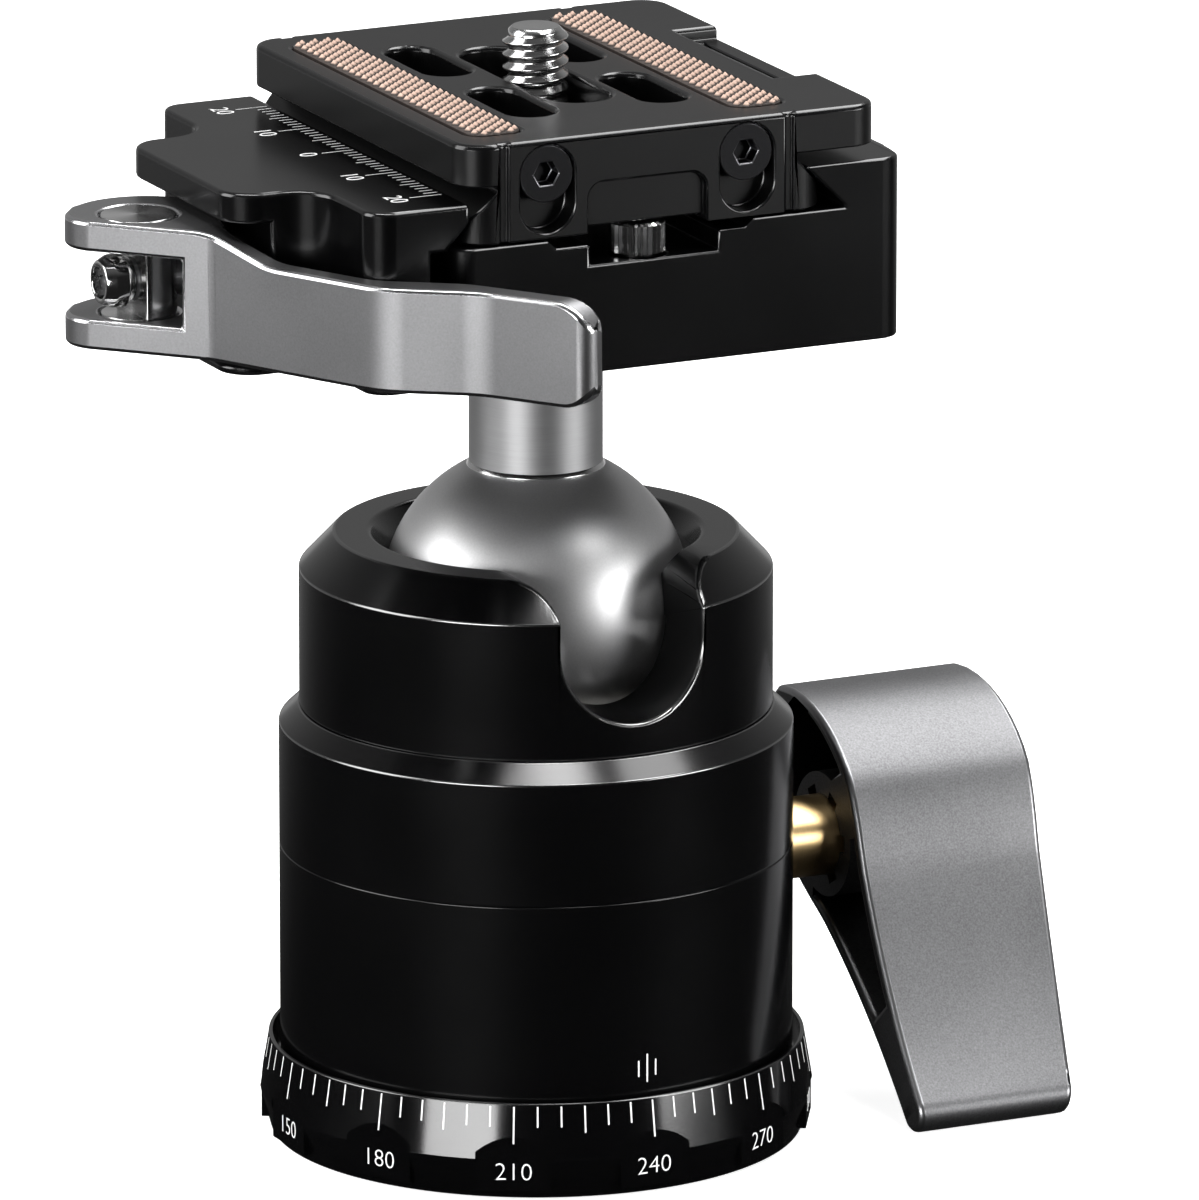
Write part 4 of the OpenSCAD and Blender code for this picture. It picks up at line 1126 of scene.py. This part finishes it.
class BALLHEAD_OT_lock(bpy.types.Operator):
    """Finishes the lock shaft with its knob, and the pan lock"""

    bl_idname = "ball_head.lock"
    bl_label = "Locks"

    def execute(self, context):
        """Builds the locks."""
        brass = turned_metal("polished_brass", colours().brass, roughness=0.3, axis="X")
        dressed("lock_shaft", brass, sizes().fine_edge)
        knob = merged_copy("lock_knob")
        round_edges(knob, sizes().knob_edge, 3, clear_of_hub)
        blasted = satin_metal("blasted_knob", colours().knob, roughness=0.46, speck=0.36)
        # The rounded edges get a lighter, glossier copy of the knob's finish: a painted highlight along them
        rim = satin_metal("knob_rim_painted_highlight", shade(colours().knob, by=1.8), roughness=0.34)
        even(piece("lock_knob_finished", knob, blasted, "ball_lock", ["lock_knob"], rim=rim))
        dressed("knob_screw", satin_metal("black_oxide_knob", colours().oxide, roughness=0.4), sizes().fine_edge)
        dressed("pan_lock_knob", black_anodised("pan_knob_black", roughness=0.3), sizes().edge)
        paint(["pan_lock_screw"], turned_metal("pan_screw_steel", colours().steel, roughness=0.3, axis="Y"))
        paint(["pan_lock_pad"], turned_metal("pad_brass", colours().brass, roughness=0.3, axis="Y"))
        return {"FINISHED"}


class BALLHEAD_OT_clamp(bpy.types.Operator):
    """Finishes the clamp block, the sliding jaw and their small parts"""

    bl_idname = "ball_head.clamp"
    bl_label = "Clamp"

    def execute(self, context):
        """Builds the clamp."""
        black, rim = black_anodised("clamp_black", roughness=0.22, gloss=0.3), burnished_edge("clamp_rim", ior=1.6)
        dressed("clamp_block", black, sizes().edge, rim=rim)
        dressed("sliding_jaw", black, sizes().jaw_edge, 3, rim=rim)
        chrome = turned_metal("polished_steel", colours().chrome, roughness=0.14)
        nut_steel = turned_metal("nut_steel", colours().chrome, roughness=0.09, axis="X")
        piece("dome_nut_finished", nut_form(), nut_steel, "clamp", ["dome_nut"], smooth=30)
        # The barrel pin's end gets a painted fan of reflected light in its colour
        faced = faced_metal("faced_steel_painted_fan", colours().chrome, roughness=0.2, centre=PIVOT)
        dressed("barrel_pin", faced, sizes().fine_edge)
        piece("stop_pin_knurled", knurled_pin("stop_pin"), chrome, "stop_pin", ["stop_pin"], smooth=20)
        piece("jaw_scale", jaw_scale(), white_print(), "sliding_jaw")
        steel = turned_metal("pin_steel", colours().steel, roughness=0.3, axis="X")
        paint(["jaw_guide_pins", "jaw_springs", "draw_bolt"], steel)
        spring = dressed("stop_pin_spring", steel)
        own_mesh(spring)
        return {"FINISHED"}


class BALLHEAD_OT_lever(bpy.types.Operator):
    """Finishes the clamp's lever"""

    bl_idname = "ball_head.lever"
    bl_label = "Lever"

    def execute(self, context):
        """Builds the lever."""
        tone = colours().titanium
        satin = satin_metal("lever_titanium", tone, roughness=0.36, speck=0.14)
        # The rounded edges get a lighter, glossier copy of the lever's finish: a painted highlight along them
        rim = satin_metal("lever_rim_painted_highlight", shade(tone, by=2.2), roughness=0.22)
        lever = piece("clamp_lever_finished", lever_form(), satin, "clamp_lever", ["clamp_lever"], rim=rim)
        soften(lever, sizes().lever_edge, 3)
        return {"FINISHED"}


class BALLHEAD_OT_plate(bpy.types.Operator):
    """Finishes the quick-release plate, its strips and its screws"""

    bl_idname = "ball_head.plate"
    bl_label = "Plate"

    def execute(self, context):
        """Builds the plate."""
        form = merged_copy("plate")
        round_edges(form, sizes().chamfer, 1, on_plate_top)
        black = black_anodised("plate_black", roughness=0.32, gloss=0.3)
        rim = burnished_edge("plate_rim", ior=1.5)
        plate = piece("plate_finished", form, black, "plate", ["plate"], smooth=25, rim=rim)
        soften(plate, sizes().plate_edge)
        piece("grip_strips_finished", grip_pyramids(), grip_rubber(), "plate", ["grip_strips"], smooth=20)
        # The screws' rounded rims get a finish twelve times lighter than the heads: a painted highlight round them
        dressed("end_screws", satin_metal("black_oxide", colours().oxide, roughness=0.35), sizes().fine_edge,
                rim=satin_metal("screw_rim_painted_highlight", shade(colours().oxide, by=12), roughness=0.3))
        bright = turned_metal("screw_steel", shade(colours().chrome, by=0.8), roughness=0.2)
        piece("camera_screw_threaded", camera_screw_form(), bright, "camera_screw", ["camera_screw"], smooth=30)
        paint(["screw_retainer"], turned_metal("retainer_steel", colours().steel, roughness=0.3))
        return {"FINISHED"}


OPERATORS = [BALLHEAD_OT_stage, BALLHEAD_OT_base, BALLHEAD_OT_housing, BALLHEAD_OT_ball, BALLHEAD_OT_lock,
             BALLHEAD_OT_clamp, BALLHEAD_OT_lever, BALLHEAD_OT_plate]


class BALLHEAD_PT_pieces(bpy.types.Panel):
    """Lists the ball head's pieces and settings"""

    bl_idname = "BALLHEAD_PT_pieces"
    bl_label = "Ball head"
    bl_space_type = "VIEW_3D"
    bl_region_type = "UI"
    bl_category = "Ball head"

    def draw(self, context):
        """Draws the buttons and the settings."""
        for operator in OPERATORS:
            self.layout.operator(operator.bl_idname)
        for group in (sizes(), colours()):
            for key in group.bl_rna.properties.keys():
                if key not in ("rna_type", "name"):
                    self.layout.prop(group, key)


CLASSES = [BallHeadSizes, BallHeadColours, *OPERATORS, BALLHEAD_PT_pieces]


def register():
    """Registers the classes and the scene's settings."""
    for kind in CLASSES:
        bpy.utils.register_class(kind)
    bpy.types.Scene.ball_head_sizes = bpy.props.PointerProperty(type=BallHeadSizes)
    bpy.types.Scene.ball_head_colours = bpy.props.PointerProperty(type=BallHeadColours)


def unregister():
    """Removes the settings and the classes."""
    del bpy.types.Scene.ball_head_colours
    del bpy.types.Scene.ball_head_sizes
    for kind in reversed(CLASSES):
        bpy.utils.unregister_class(kind)


def main():
    """Builds every piece in order."""
    register()
    for operator in OPERATORS:
        group, name = operator.bl_idname.split(".")
        getattr(getattr(bpy.ops, group), name)()


if __name__ == "__main__":
    main()
